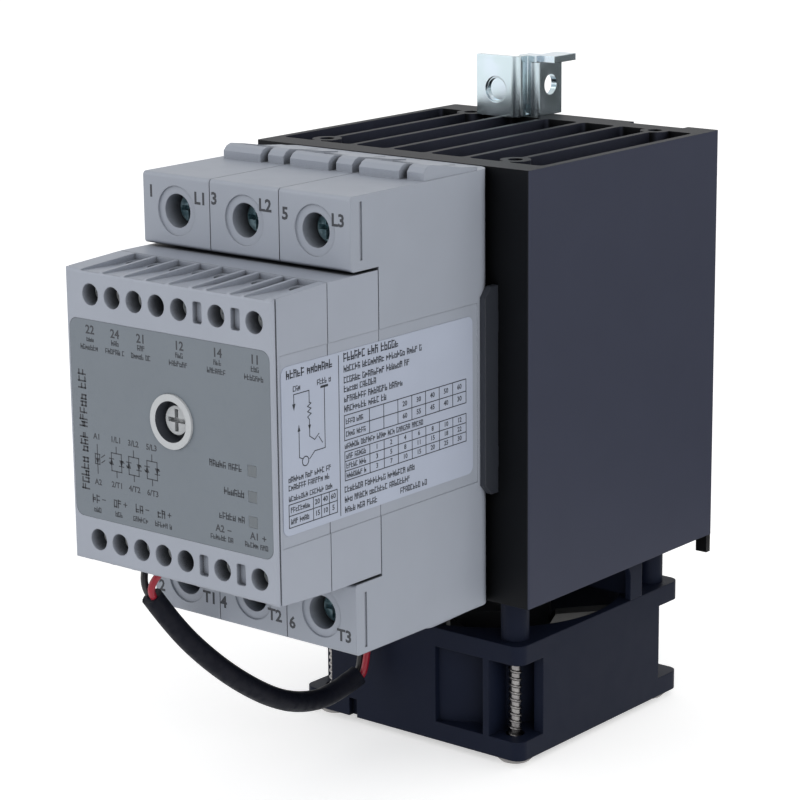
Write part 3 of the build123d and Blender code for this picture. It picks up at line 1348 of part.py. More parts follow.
if __name__ == "__main__":
    main()
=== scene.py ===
"""Looks of a three-pole solid state contactor on a fan-cooled heat sink.

Everything is in metres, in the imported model's frame: X to the right, Y from the
terminals towards the mounting rail, Z up, with the origin in the middle of the heat
sink's rear face.
"""
import functools
import logging
import math
import random
from collections.abc import Iterable, Mapping, Sequence
from dataclasses import dataclass
from enum import Enum
from typing import ClassVar

import bmesh
import bpy
from mathutils import Matrix, Vector


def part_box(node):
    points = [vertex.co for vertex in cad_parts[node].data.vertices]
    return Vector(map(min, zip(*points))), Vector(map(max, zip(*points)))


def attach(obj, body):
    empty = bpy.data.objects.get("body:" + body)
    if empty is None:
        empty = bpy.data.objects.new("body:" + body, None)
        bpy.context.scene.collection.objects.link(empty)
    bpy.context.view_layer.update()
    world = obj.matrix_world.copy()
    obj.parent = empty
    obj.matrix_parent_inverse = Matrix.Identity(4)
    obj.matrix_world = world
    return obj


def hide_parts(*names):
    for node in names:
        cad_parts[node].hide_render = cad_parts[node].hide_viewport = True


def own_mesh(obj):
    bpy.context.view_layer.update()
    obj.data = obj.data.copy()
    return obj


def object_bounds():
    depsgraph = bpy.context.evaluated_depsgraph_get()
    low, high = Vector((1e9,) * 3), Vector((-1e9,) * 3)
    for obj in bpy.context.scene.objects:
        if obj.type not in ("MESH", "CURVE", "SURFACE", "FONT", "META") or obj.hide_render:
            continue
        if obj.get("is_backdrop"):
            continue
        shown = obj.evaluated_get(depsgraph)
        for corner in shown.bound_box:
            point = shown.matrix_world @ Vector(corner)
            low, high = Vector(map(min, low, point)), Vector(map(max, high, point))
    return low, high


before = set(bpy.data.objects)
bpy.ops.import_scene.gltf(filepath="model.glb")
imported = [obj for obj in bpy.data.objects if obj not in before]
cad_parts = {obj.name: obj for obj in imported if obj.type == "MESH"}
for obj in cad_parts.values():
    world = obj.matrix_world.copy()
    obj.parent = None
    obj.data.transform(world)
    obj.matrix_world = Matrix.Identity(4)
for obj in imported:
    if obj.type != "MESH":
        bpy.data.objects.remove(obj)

MM = 0.001
LOG = logging.getLogger("contactor")

Colour = tuple[float, float, float]
Point = tuple[float, float, float]
Spot = tuple[float, float]


# ---------------------------------------------------------------- node trees

class Wire:
    """An output socket that takes part in Python arithmetic."""

    def __init__(self, graph: "Graph", socket: bpy.types.NodeSocket | None) -> None:
        """Wrap one output socket of a graph."""
        self.graph = graph
        self.socket = socket

    def output(self, name: str | int) -> "Wire":
        """Another output of the same node."""
        return Wire(self.graph, self.socket.node.outputs[name])

    def __add__(self, other: object) -> "Wire":
        """Sum."""
        return self.graph.math("ADD", self, other)

    def __sub__(self, other: object) -> "Wire":
        """Difference."""
        return self.graph.math("SUBTRACT", self, other)

    def __rsub__(self, other: object) -> "Wire":
        """Difference from a number."""
        return self.graph.math("SUBTRACT", other, self)

    def __mul__(self, other: object) -> "Wire":
        """Product."""
        return self.graph.math("MULTIPLY", self, other)

    def __truediv__(self, other: object) -> "Wire":
        """Quotient."""
        return self.graph.math("DIVIDE", self, other)


class Graph:
    """A node tree that grows one node at a time."""

    def __init__(self, tree: bpy.types.NodeTree) -> None:
        """Start from an emptied tree."""
        self.tree = tree
        tree.nodes.clear()

    def add(self, kind: str, sockets: Mapping[str | int, object] | None = None, out: str | int = 0,
            **settings: object) -> Wire:
        """Add a node.

        Args:
            kind: Blender's name of the node type.
            sockets: Numbers, colours or wires for its input sockets, by name or number.
            out: The output that is returned.
            settings: The node's own settings, set before its sockets.

        Returns:
            The chosen output, or a wire on nothing for a node without outputs.
        """
        node = self.tree.nodes.new(kind)
        for key, value in settings.items():
            setattr(node, key, value)
        for key, value in (sockets or {}).items():
            if isinstance(value, Wire):
                self.tree.links.new(value.socket, node.inputs[key])
            else:
                node.inputs[key].default_value = value
        return Wire(self, node.outputs[out] if node.outputs else None)

    def math(self, operation: str, first: object, second: object = 0.0) -> Wire:
        """Add one Math node; its two inputs are wires or numbers."""
        return self.add("ShaderNodeMath", {0: first, 1: second}, operation=operation)

    def vector(self, x: object = 0.0, y: object = 0.0, z: object = 0.0) -> Wire:
        """A vector from its components, as wires or numbers."""
        return self.add("ShaderNodeCombineXYZ", {0: x, 1: y, 2: z})

    def axes(self, where: Wire) -> tuple[Wire, Wire, Wire]:
        """The three components of a vector."""
        split = self.add("ShaderNodeSeparateXYZ", {0: where})
        return split, split.output(1), split.output(2)

    def stretch(self, where: Wire, scale: Point) -> Wire:
        """Coordinates scaled along each axis."""
        return self.add("ShaderNodeVectorMath", {0: where, 1: scale}, operation="MULTIPLY")

    def mix(self, factor: object, first: object, second: object, blend_type: str = "MIX") -> Wire:
        """Mix two colours; the factor is a wire or a number."""
        pair = [(*side, 1.0) if isinstance(side, tuple) else side for side in (first, second)]
        return self.add("ShaderNodeMix", {0: factor, 6: pair[0], 7: pair[1]}, out=2,
                        data_type="RGBA", blend_type=blend_type)

    def step(self, value: Wire, start: float, end: float) -> Wire:
        """Smooth rise from 0 to 1 as a value goes from start to end."""
        return self.add("ShaderNodeMapRange", {0: value, 1: start, 2: end, 3: 0.0, 4: 1.0},
                        interpolation_type="SMOOTHSTEP")

    def swing(self, pattern: Wire, middle: float, reach: float) -> Wire:
        """A pattern's 0 to 1 turned into values up to reach below and above a middle."""
        return pattern * (2 * reach) + (middle - reach)

    def noise(self, where: Wire, size: float, detail: float = 2.0) -> Wire:
        """Noise whose features are about this size, in metres."""
        return self.add("ShaderNodeTexNoise", {"Vector": where, "Scale": 1.0 / size, "Detail": detail})

    def moved(self, geometry: Wire, to: Wire) -> Wire:
        """A geometry moved by a vector."""
        return self.add("GeometryNodeTransform", {"Geometry": geometry, "Translation": to})

    def join(self, pieces: Sequence[Wire]) -> Wire:
        """Join several geometries."""
        joined = self.add("GeometryNodeJoinGeometry")
        for piece in pieces:
            self.tree.links.new(piece.socket, joined.socket.node.inputs[0])
        return joined


# ---------------------------------------------------------------- finishes

def brighter(colour: Colour, times: float) -> Colour:
    """A colour with each part multiplied."""
    return tuple(part * times for part in colour)


@dataclass(frozen=True)
class Finish:
    """A surface finish; each kind adds its own pattern to a plain shader.

    The base class is a plain finish with a drifting tone and a fine grain. Painted shade
    darkens corners and recesses by the share `corner`, where less than `corner_shade_range` of the
    sky within `corner_shade_reach` is open; `soften` is the radius that edges are shaded with.
    """

    name: str
    colour: Colour
    roughness: float = 0.5
    metallic: float = 0.0
    specular: float = 0.5
    drift: float = 0.05
    drift_size: float = 12 * MM
    sheen: float = 0.06
    grain: float = 0.3 * MM
    relief: float = 0.004 * MM
    soften: float = 0.0
    corner: float = 0.0
    corner_shade_reach: float = 6 * MM
    corner_shade_range: Spot = (0.1, 0.6)

    @functools.cache
    def material(self) -> bpy.types.Material:
        """The finish as a material, made once."""
        made = bpy.data.materials.new(self.name)
        made.use_nodes = True
        graph = Graph(made.node_tree)
        sockets = self.dress(graph, graph.add("ShaderNodeTexCoord", out="Object"))
        surface = {"Height": sockets.pop("Height"), "Strength": 1.0, "Distance": self.relief}
        if self.soften:
            surface["Normal"] = graph.add("ShaderNodeBevel", {"Radius": self.soften}, samples=4)
        normal = graph.add("ShaderNodeBump", surface)
        shader = graph.add("ShaderNodeBsdfPrincipled", {
            "Specular IOR Level": self.specular, "Metallic": self.metallic, "Normal": normal, **sockets})
        graph.add("ShaderNodeOutputMaterial", {"Surface": shader})
        made.diffuse_color = (*self.colour, 1.0)
        return made

    def dress(self, graph: Graph, where: Wire) -> dict[str, object]:
        """The pattern of the finish; the kinds of finish below override this.

        Args:
            graph: The material's node tree.
            where: Coordinates on the object, in metres.

        Returns:
            Values for the shader's sockets, and the surface's height as "Height".
        """
        return {"Base Color": self.tone(graph, where), "Roughness": self.gloss(graph, where),
                "Height": graph.noise(where, self.grain)}

    def tone(self, graph: Graph, where: Wire, colour: object = None) -> Wire:
        """A colour, the finish's own by default, that drifts a little in lightness and carries painted shade
        in corners.
        """
        level = graph.swing(graph.noise(where, self.drift_size, 3.0), 1.0, self.drift)
        # Painted shade: where ambient occlusion finds little open sky, in corners and recesses, the colour is
        # darkened by the share corner.
        if self.corner:
            open_sky = graph.add("ShaderNodeAmbientOcclusion", {"Distance": self.corner_shade_reach}, out="AO",
                                 samples=6)
            level = level * (graph.step(open_sky, *self.corner_shade_range) * self.corner + (1.0 - self.corner))
        grey = graph.vector(level, level, level)
        return graph.mix(1.0, self.colour if colour is None else colour, grey, "MULTIPLY")

    def gloss(self, graph: Graph, where: Wire) -> Wire:
        """Roughness that varies a little over the surface."""
        return graph.swing(graph.noise(where, self.drift_size / 3), self.roughness, self.sheen)


@dataclass(frozen=True)
class MouldedPlastic(Finish):
    """Moulded plastic: spark-eroded grain, and dust that settles on upward faces."""

    dust: float = 0.0
    dust_colour: Colour = (0.8, 0.82, 0.85)
    coarse_share: float = 0.6

    def dress(self, graph: Graph, where: Wire) -> dict[str, object]:
        """Grain in two sizes, with a faint lightening where faces look up."""
        _, _, up = graph.axes(graph.add("ShaderNodeTexCoord", out="Normal"))
        settled = graph.step(up, 0.5, 1.0) * self.dust
        coarse = graph.noise(where, self.grain * 4, 1.0) * self.coarse_share
        return {"Base Color": graph.mix(settled, self.tone(graph, where), self.dust_colour),
                "Roughness": self.gloss(graph, where),
                "Height": graph.noise(where, self.grain, 1.0) + coarse}


@dataclass(frozen=True)
class AnodisedExtrusion(Finish):
    """Black anodised aluminium, drawn along Z and sawn square at its ends."""

    sheen: float = 0.08
    sawn: Colour = (0.011, 0.0125, 0.017)
    # Painted shade: the deeper black given to faces that look forward.
    front_shade: Colour = (0.005, 0.006, 0.008)
    line: float = 0.25 * MM
    line_stretch: float = 0.012
    line_light: float = 1.3
    saw_centre: Point = (0.4, 0.25, 0.0)
    saw_scale: float = 500.0
    facing: Spot = (0.7, 0.95)

    def dress(self, graph: Graph, where: Wire) -> dict[str, object]:
        """Die lines along the length, arcs from the saw on the two ends, and painted shade: a deeper black on
        faces that look forward.
        """
        _, rear, up = graph.axes(graph.add("ShaderNodeTexCoord", out="Normal"))
        # Painted shade: faces that look forward are mixed towards a deeper black, the shade that falls beside
        # the pole housings.
        front = graph.step(rear * -1.0, *self.facing)
        end = graph.step(graph.math("ABSOLUTE", up), *self.facing)
        drawn = graph.noise(graph.stretch(where, (1.0, 1.0, self.line_stretch)), self.line)
        arc_place = graph.add("ShaderNodeMapping", {"Vector": where, "Location": self.saw_centre})
        arcs = graph.add("ShaderNodeTexWave", {
            "Vector": arc_place, "Scale": self.saw_scale, "Distortion": 3.0, "Detail": 2.0},
            wave_type="RINGS", rings_direction="Z")
        flat = graph.mix(drawn * 0.3, self.colour, brighter(self.colour, self.line_light))
        flat = graph.mix(front, flat, self.front_shade)
        cut = graph.mix(arcs * 0.4, self.sawn, brighter(self.sawn, self.line_light))
        return {"Base Color": self.tone(graph, where, graph.mix(end, flat, cut)),
                "Roughness": graph.swing(drawn, self.roughness, self.sheen),
                "Height": drawn * (1.0 - end) + arcs * end}


@dataclass(frozen=True)
class PlatedSteel(Finish):
    """Plated sheet or wire: clouded plating with faint rolling lines and a bluish tint."""

    sheen: float = 0.1
    tint: Colour = (0.62, 0.70, 0.78)
    tint_range: Spot = (0.42, 0.68)
    tint_share: float = 0.7
    dull: float = 0.0

    def dress(self, graph: Graph, where: Wire) -> dict[str, object]:
        """Clouds of tint and gloss."""
        clouds = graph.noise(where, self.drift_size, 4.0)
        tinted = graph.step(clouds, *self.tint_range) * self.tint_share
        return {"Base Color": self.tone(graph, where, graph.mix(tinted, self.colour, self.tint)),
                "Metallic": 1.0 - self.dull, "Roughness": graph.swing(clouds, self.roughness, self.sheen),
                "Height": graph.noise(graph.stretch(where, (1.0, 1.0, 0.05)), self.grain)}


@dataclass(frozen=True)
class Film(Finish):
    """Printed polyester film: satin, with faint orange peel and soft scuffs."""

    scuff: float = 1.5 * MM

    def dress(self, graph: Graph, where: Wire) -> dict[str, object]:
        """Orange peel and scuffed gloss."""
        scuffs = graph.noise(graph.stretch(where, (1.0, 0.3, 1.0)), self.scuff, 5.0)
        return {"Base Color": self.tone(graph, where),
                "Roughness": graph.step(scuffs, 0.5, 0.75) * 0.15 + self.roughness,
                "Height": graph.noise(where, self.grain, 1.0)}


@dataclass(frozen=True)
class Clear(Finish):
    """Frosted clear plastic over a faint glow of what is behind it."""

    transmission: float = 0.35
    rib_scale: float = 1000.0

    def dress(self, graph: Graph, where: Wire) -> dict[str, object]:
        """Fine prismatic ribs in the clear plastic."""
        ribs = graph.add("ShaderNodeTexWave", {"Vector": where, "Scale": self.rib_scale}, bands_direction="X")
        return {"Base Color": self.tone(graph, where), "Roughness": self.roughness,
                "Transmission Weight": self.transmission, "Height": ribs}


@dataclass(frozen=True)
class CircuitBoard(Finish):
    """Solder mask over copper tracks."""

    track_scale: float = 350.0
    track_edge: Spot = (0.3, 0.34)
    track_light: float = 1.6

    def dress(self, graph: Graph, where: Wire) -> dict[str, object]:
        """Blocky lighter tracks under the mask."""
        cells = graph.add("ShaderNodeTexVoronoi", {"Vector": where, "Scale": self.track_scale},
                          distance="MANHATTAN")
        track = graph.step(cells, *self.track_edge)
        colour = graph.mix(track, brighter(self.colour, self.track_light), self.colour)
        return {"Base Color": self.tone(graph, where, colour), "Roughness": self.gloss(graph, where),
                "Coat Weight": 0.3, "Height": track}


@dataclass(frozen=True)
class Sleeving(Finish):
    """Shrunk plastic sleeve, with fine wrinkles along and round it."""

    sheen: float = 0.1

    def dress(self, graph: Graph, where: Wire) -> dict[str, object]:
        """Wrinkles that follow no direction, in two sizes."""
        wrinkles = graph.noise(where, self.grain * 4, 3.0)
        return {"Base Color": self.tone(graph, where),
                "Roughness": graph.swing(graph.step(wrinkles, 0.4, 0.7), self.roughness, self.sheen),
                "Height": wrinkles + graph.noise(where, self.grain)}


# Several finishes below paint shade into their corners and recesses through their corner settings.
GREY_POLE = MouldedPlastic("grey_pole_plastic", (0.335, 0.365, 0.425), 0.5, soften=0.3 * MM,
                           corner=0.92, corner_shade_reach=9 * MM)
GREY_COVER = MouldedPlastic("grey_cover_plastic", (0.35, 0.38, 0.445), 0.48, soften=0.3 * MM,
                            corner=0.92, corner_shade_reach=7 * MM)
CLIP_PLASTIC = MouldedPlastic("clip_plastic", (0.026, 0.030, 0.040), 0.5, soften=0.3 * MM)
FAN_PLASTIC = MouldedPlastic("fan_plastic", (0.008, 0.0115, 0.026), 0.5, specular=0.1,
                             soften=0.35 * MM, corner=0.85)
ROTOR_PLASTIC = MouldedPlastic("rotor_plastic", (0.006, 0.007, 0.009), 0.42, dust=0.01, soften=0.2 * MM)
RELAY_PLASTIC = MouldedPlastic("relay_plastic", (0.02, 0.022, 0.025), 0.45, dust=0.04)
KNOB_PLASTIC = MouldedPlastic("knob_plastic", (0.52, 0.54, 0.56), 0.42, soften=0.1 * MM, corner=0.5)
# Painted shade: a dark plastic for the faces down the trimmer's bore.
BORE_SHADE = MouldedPlastic("bore_painted_shade", (0.045, 0.05, 0.062), 0.5)
BLACK_ANODISED = AnodisedExtrusion("black_anodised", (0.044, 0.049, 0.075), 0.5, specular=0.12,
                                   soften=0.25 * MM, corner=0.93, corner_shade_reach=14 * MM,
                                   corner_shade_range=(0.3, 0.9))
GREY_FILM = Film("grey_film", (0.165, 0.193, 0.225), 0.42, grain=0.6 * MM, relief=0.003 * MM)
WHITE_FILM = Film("white_film", (0.43, 0.475, 0.58), 0.38, grain=0.8 * MM, relief=0.003 * MM)
INK = Finish("dark_ink", (0.028, 0.032, 0.042), 0.5, drift=0.1)
ZINC = PlatedSteel("zinc_plate", (0.56, 0.66, 0.70), 0.2, drift_size=5 * MM, relief=0.002 * MM,
                   soften=0.2 * MM, corner=0.6)
# Painted shade and glints: the power terminal screws get a dark copy of the plated steel for the shade deep
# in their wells; the control screws get a pale, whitened copy that paints their glints.
SHADED_TERMINAL_STEEL = PlatedSteel("terminal_steel_painted_shade", (0.10, 0.18, 0.21), 0.3, drift_size=1.5 * MM,
                             relief=0.004 * MM, tint=(0.40, 0.56, 0.62), dull=0.4)
GLINTING_CONTROL_STEEL = PlatedSteel("control_steel_painted_glint", (0.55, 0.60, 0.62), 0.3, drift_size=1.5 * MM,
                            relief=0.004 * MM, tint=(0.95, 0.96, 0.97), dull=0.5)
FAN_SCREW_STEEL = PlatedSteel("fan_screw_steel", (0.26, 0.25, 0.25), 0.32, drift_size=2 * MM,
                              tint=(0.36, 0.35, 0.34))
SCREW_STEEL = PlatedSteel("screw_steel", (0.56, 0.57, 0.58), 0.3, drift_size=2 * MM, relief=0.002 * MM)
CLAMP_STEEL = PlatedSteel("clamp_steel", (0.50, 0.54, 0.58), 0.34, drift_size=3 * MM, relief=0.003 * MM,
                          soften=0.15 * MM)
SPRING_STEEL = PlatedSteel("spring_steel", (0.35, 0.36, 0.38), 0.3, drift_size=2 * MM)
BLACK_STEEL = Finish("black_steel", (0.012, 0.012, 0.014), 0.4, metallic=0.6, soften=0.15 * MM)
TINNED = PlatedSteel("tinned_copper", (0.72, 0.71, 0.68), 0.32, drift_size=3 * MM)
COPPER = Finish("copper", (0.72, 0.34, 0.20), 0.35, metallic=1.0, drift=0.12)
CERAMIC = Finish("ceramic", (0.75, 0.74, 0.70), 0.35)
SILICON = Finish("silicon", (0.06, 0.065, 0.08), 0.15, metallic=0.4)
PAD = Finish("thermal_pad", (0.30, 0.31, 0.32), 0.8)
BOARD = CircuitBoard("circuit_board", (0.01, 0.09, 0.035), 0.35)
VARISTOR = Finish("varistor_coating", (0.01, 0.05, 0.22), 0.25)
PIPE = Clear("status_window", (0.20, 0.23, 0.26), 0.3, relief=0.02 * MM)
DIODE = Clear("diode_lens", (0.6, 0.55, 0.3), 0.1)
MAGNET = Finish("magnet", (0.05, 0.048, 0.045), 0.7)
BLACK_SLEEVE = Sleeving("black_sleeve", (0.005, 0.006, 0.012), 0.62, specular=0.15, grain=0.4 * MM,
                        relief=0.02 * MM)
BLACK_WIRE = Sleeving("black_wire", (0.01, 0.01, 0.012), 0.4, grain=0.3 * MM, relief=0.004 * MM)
RED_WIRE = Sleeving("red_wire", (0.36, 0.007, 0.026), 0.38, grain=0.3 * MM, relief=0.004 * MM)

FINISHED_NODES: tuple[tuple[Finish, str], ...] = (
    (BLACK_ANODISED, "heat_sink"),
    (GREY_POLE, "pole_housing_1 pole_housing_2 pole_housing_3"),
    (GREY_COVER, "control_base front_cover"),
    (GREY_FILM, "front_label"),
    (WHITE_FILM, "side_label"),
    (PIPE, "light_pipes"),
    (DIODE, "status_diodes"),
    (KNOB_PLASTIC, "trimmer_body trimmer_knob"),
    (RELAY_PLASTIC, "output_relays board_links"),
    (FAN_PLASTIC, "fan_frame fan_spacers fan_duct"),
    (ROTOR_PLASTIC, "fan_rotor"),
    (CLIP_PLASTIC, "side_clips"),
    (TINNED, "terminal_bars power_leads control_pins"),
    (COPPER, "base_plates fan_stator"),
    (PAD, "thermal_pads"),
    (CERAMIC, "ceramic_substrates"),
    (SILICON, "thyristor_chips"),
    (BOARD, "power_boards control_board fan_board"),
    (VARISTOR, "varistors"),
    (MAGNET, "fan_magnet"),
    (ZINC, "earth_bracket rail_hook"),
    (BLACK_STEEL, "rail_latch"),
    (SPRING_STEEL, "fan_retaining_ring latch_spring"),
    (CLAMP_STEEL, "control_clamps fan_bearings spring_post power_clamp_l1 power_clamp_l2 power_clamp_l3 "
                  "power_clamp_t1 power_clamp_t2 power_clamp_t3"),
    (SCREW_STEEL, "base_screws control_screws fan_shaft fan_screws rail_screws latch_guides power_screw_l1 "
                  "power_screw_l2 power_screw_l3 power_screw_t1 power_screw_t2 power_screw_t3"),
    (BLACK_SLEEVE, "fan_lead lead_wires"),
)


def dress_cad_nodes() -> None:
    """Give every CAD node the material of its finish."""
    finishes = {name: finish for finish, names in FINISHED_NODES for name in names.split()}
    for name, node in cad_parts.items():
        node.data.materials.clear()
        node.data.materials.append(finishes[name].material())


# ---------------------------------------------------------------- helpers for meshes

def solid_boxes(node: str) -> list[tuple[Vector, Vector]]:
    """Boxes of the separate solids in one CAD node, from left to right.

    Args:
        node: Name of the CAD node.

    Returns:
        The lowest and highest corner of each solid.
    """
    merged = bmesh.new()
    merged.from_mesh(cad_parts[node].data)
    bmesh.ops.remove_doubles(merged, verts=merged.verts, dist=0.001 * MM)
    left = set(merged.verts)
    boxes = []
    while left:
        group = [left.pop()]
        for vertex in group:
            for edge in vertex.link_edges:
                other = edge.other_vert(vertex)
                if other in left:
                    left.remove(other)
                    group.append(other)
        low = Vector([min(v.co[axis] for v in group) for axis in range(3)])
        high = Vector([max(v.co[axis] for v in group) for axis in range(3)])
        boxes.append((low, high))
    merged.free()
    return sorted(boxes, key=lambda pair: tuple(pair[0]))


def new_object(name: str, data: bpy.types.ID) -> bpy.types.Object:
    """Put new data in the scene as an object at the origin."""
    made = bpy.data.objects.new(name, data)
    bpy.context.scene.collection.objects.link(made)
    return made


def plain_mesh(made: bpy.types.Object) -> bpy.types.Object:
    """Swap an object for one with its evaluated shape as a plain mesh.

    Args:
        made: Object with modifiers, or a curve; it is removed.

    Returns:
        The new object, with the old one's name.
    """
    name = made.name
    made.name = name + "_source"
    graph = bpy.context.evaluated_depsgraph_get()
    mesh = bpy.data.meshes.new_from_object(made.evaluated_get(graph), depsgraph=graph)
    mesh.name = name
    bpy.data.objects.remove(made)
    return new_object(name, mesh)


def round_curve(name: str, radius: float, smooth: int, finish: Finish) -> bpy.types.Curve:
    """Empty curve data that becomes a round bar; the radius is in millimetres."""
    curve = bpy.data.curves.new(name, "CURVE")
    curve.dimensions = "3D"
    curve.bevel_depth = radius * MM
    curve.bevel_resolution = smooth
    curve.use_fill_caps = True
    curve.materials.append(finish.material())
    return curve


def flat_sheet(name: str, corners: Sequence[Vector], material: bpy.types.Material) -> bpy.types.Object:
    """Four-cornered sheet, given anticlockwise."""
    mesh = bpy.data.meshes.new(name)
    mesh.from_pydata(corners, [], [(0, 1, 2, 3)])
    mesh.materials.append(material)
    return new_object(name, mesh)


# ---------------------------------------------------------------- printing

class Side(Enum):
    """Faces that carry printing: their reading direction."""

    FRONT = (1.0, 0.0, 0.0)
    RIGHT = (0.0, 1.0, 0.0)


@dataclass
class Printing:
    """Ink on one flat face, as thin closed shapes; places are given in millimetres.

    The first number of a place runs in the reading direction, the second up. The ink
    also goes into the face by a share of its thickness.
    """

    FIGURE_SHARE: ClassVar[float] = 0.7
    LETTERS: ClassVar[tuple[int, int]] = (3, 8)
    LETTER_STEP: ClassVar[float] = 0.72
    LETTER_WIDTH: ClassVar[float] = 0.42
    LETTER_ROOM: ClassVar[float] = 0.55
    WORD_GAP: ClassVar[float] = 0.45
    CIRCLE_STEPS: ClassVar[int] = 16

    name: str
    side: Side
    face: float
    thickness: float = 0.02 * MM
    sunk: float = 0.5
    line: float = 0.2
    seed: int = 7

    def __post_init__(self) -> None:
        """Start with no ink."""
        self.ink = bmesh.new()
        self.random = random.Random(self.seed)
        across = Vector(self.side.value)
        up = Vector((0.0, 0.0, 1.0))
        out = across.cross(up)
        place = Matrix((across, up, out)).transposed().to_4x4()
        place.translation = out * self.face
        self.place = place

    def shape(self, corners: Sequence[Spot]) -> None:
        """Fill one convex outline, given anticlockwise."""
        rings = []
        for depth in (-self.thickness * self.sunk, self.thickness):
            places = [self.place @ Vector((x * MM, z * MM, depth)) for x, z in corners]
            rings.append([self.ink.verts.new(place) for place in places])
        low, high = rings
        self.ink.faces.new(high)
        self.ink.faces.new(low[::-1])
        for index in range(len(corners)):
            after = (index + 1) % len(corners)
            self.ink.faces.new((low[index], low[after], high[after], high[index]))

    def stroke(self, start: Spot, end: Spot, width: float | None = None) -> None:
        """Draw a straight line."""
        first, last = Vector(start), Vector(end)
        along = (last - first).normalized() * (width or self.line) / 2
        aside = Vector((-along.y, along.x))
        corners = (first - along - aside, last + along - aside, last + along + aside, first - along + aside)
        self.shape([tuple(corner) for corner in corners])

    def route(self, points: Sequence[Spot], width: float | None = None) -> None:
        """Draw a line through several points."""
        for start, end in zip(points, points[1:]):
            self.stroke(start, end, width)

    def frame(self, start: Spot, end: Spot) -> None:
        """Draw a box from its upper left to its lower right corner."""
        (left, high), (right, low) = start, end
        self.route([(left, high), (right, high), (right, low), (left, low), (left, high)])

    def circle(self, centre: Spot, radius: float) -> None:
        """Draw a circle."""
        turns = [2 * math.pi * step / self.CIRCLE_STEPS for step in range(self.CIRCLE_STEPS + 1)]
        x, z = centre
        self.route([(x + radius * math.cos(turn), z + radius * math.sin(turn)) for turn in turns])

    def triangle(self, tip: Spot, base: Spot, width: float) -> None:
        """Fill a triangle from the middle of its base to its tip."""
        end, middle = Vector(tip), Vector(base)
        aside = (end - middle).normalized().orthogonal() * width / 2
        corners = [middle - aside, middle + aside, end]
        if (corners[1] - corners[0]).cross(corners[2] - corners[0]) < 0:
            corners.reverse()
        self.shape([tuple(corner) for corner in corners])

    def grid(self, across: Sequence[float], up: Sequence[float]) -> None:
        """Rule a table."""
        for height in up:
            self.stroke((across[0], height), (across[-1], height))
        for place in across:
            self.stroke((place, up[0]), (place, up[-1]))

    def number(self, text: str, centre: Spot, height: float, bold: float = 0.03) -> None:
        """Print a number or a terminal's code.

        Args:
            text: What it says.
            centre: Middle of the text.
            height: Height of a figure, in millimetres.
            bold: Widening of each figure, as a share of its height.
        """
        curve = bpy.data.curves.new("figures", "FONT")
        curve.body = text
        curve.size = height * MM / self.FIGURE_SHARE
        curve.align_x = "CENTER"
        curve.align_y = "CENTER"
        curve.resolution_u = 2
        curve.offset = bold * height * MM
        curve.extrude = self.thickness * (1 + self.sunk) / 2
        made = plain_mesh(new_object("figures", curve))
        level = self.thickness * (1 - self.sunk) / 2
        made.data.transform(Matrix.Translation((centre[0] * MM, centre[1] * MM, level)))
        made.data.transform(self.place)
        self.ink.from_mesh(made.data)
        bpy.data.objects.remove(made)

    def words(self, start: Spot, length: float, height: float, turned: bool = False,
              weight: float = 0.17) -> None:
        """Print a line of marks in the rhythm of small lettering, which says nothing.

        Args:
            start: Left end of the line, at the middle of its height.
            length: Length of the line.
            height: Height of a tall mark.
            turned: Whether the line reads upwards.
            weight: Width of a mark's strokes, as a share of the height.
        """
        width = weight * height
        place = 0.0
        letters = self.random.randint(*self.LETTERS)
        while place + self.LETTER_ROOM * height <= length:
            if letters == 0:
                letters = self.random.randint(*self.LETTERS)
                place += self.WORD_GAP * height
                continue
            letters -= 1
            self.mark(start, place, height, width, turned)
            place += self.LETTER_STEP * height

    def mark(self, start: Spot, place: float, height: float, width: float, turned: bool) -> None:
        """Print one mark: an upright with a few short strokes beside it."""
        half = height / 2
        body = self.LETTER_WIDTH * height
        lines = [((0.0, -half), (0.0, half * self.random.choice((0.4, 1.0, 1.0))))]
        if self.random.random() < 0.6:
            lines.append(((body, -half), (body, half * self.random.choice((-0.1, 0.5)))))
        for level in self.random.sample((-0.9, -0.3, 0.15, 0.8), 2):
            lines.append(((0.0, level * half), (body, level * half)))
        for line in lines:
            ends = [(place + x, z) for x, z in line]
            if turned:
                ends = [(-z, x) for x, z in ends]
            self.stroke(*[(start[0] + x, start[1] + z) for x, z in ends], width)

    def finish(self, material: bpy.types.Material, slot: str) -> bpy.types.Object:
        """Turn the ink into a piece on the object's fixed body."""
        bmesh.ops.remove_doubles(self.ink, verts=self.ink.verts, dist=0.0005 * MM)
        mesh = bpy.data.meshes.new(self.name)
        self.ink.to_mesh(mesh)
        self.ink.free()
        mesh.materials.append(material)
        made = new_object(self.name, mesh)
        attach(made, "root")
        LOG.info("%s: %d faces", self.name, len(mesh.polygons))
        return made


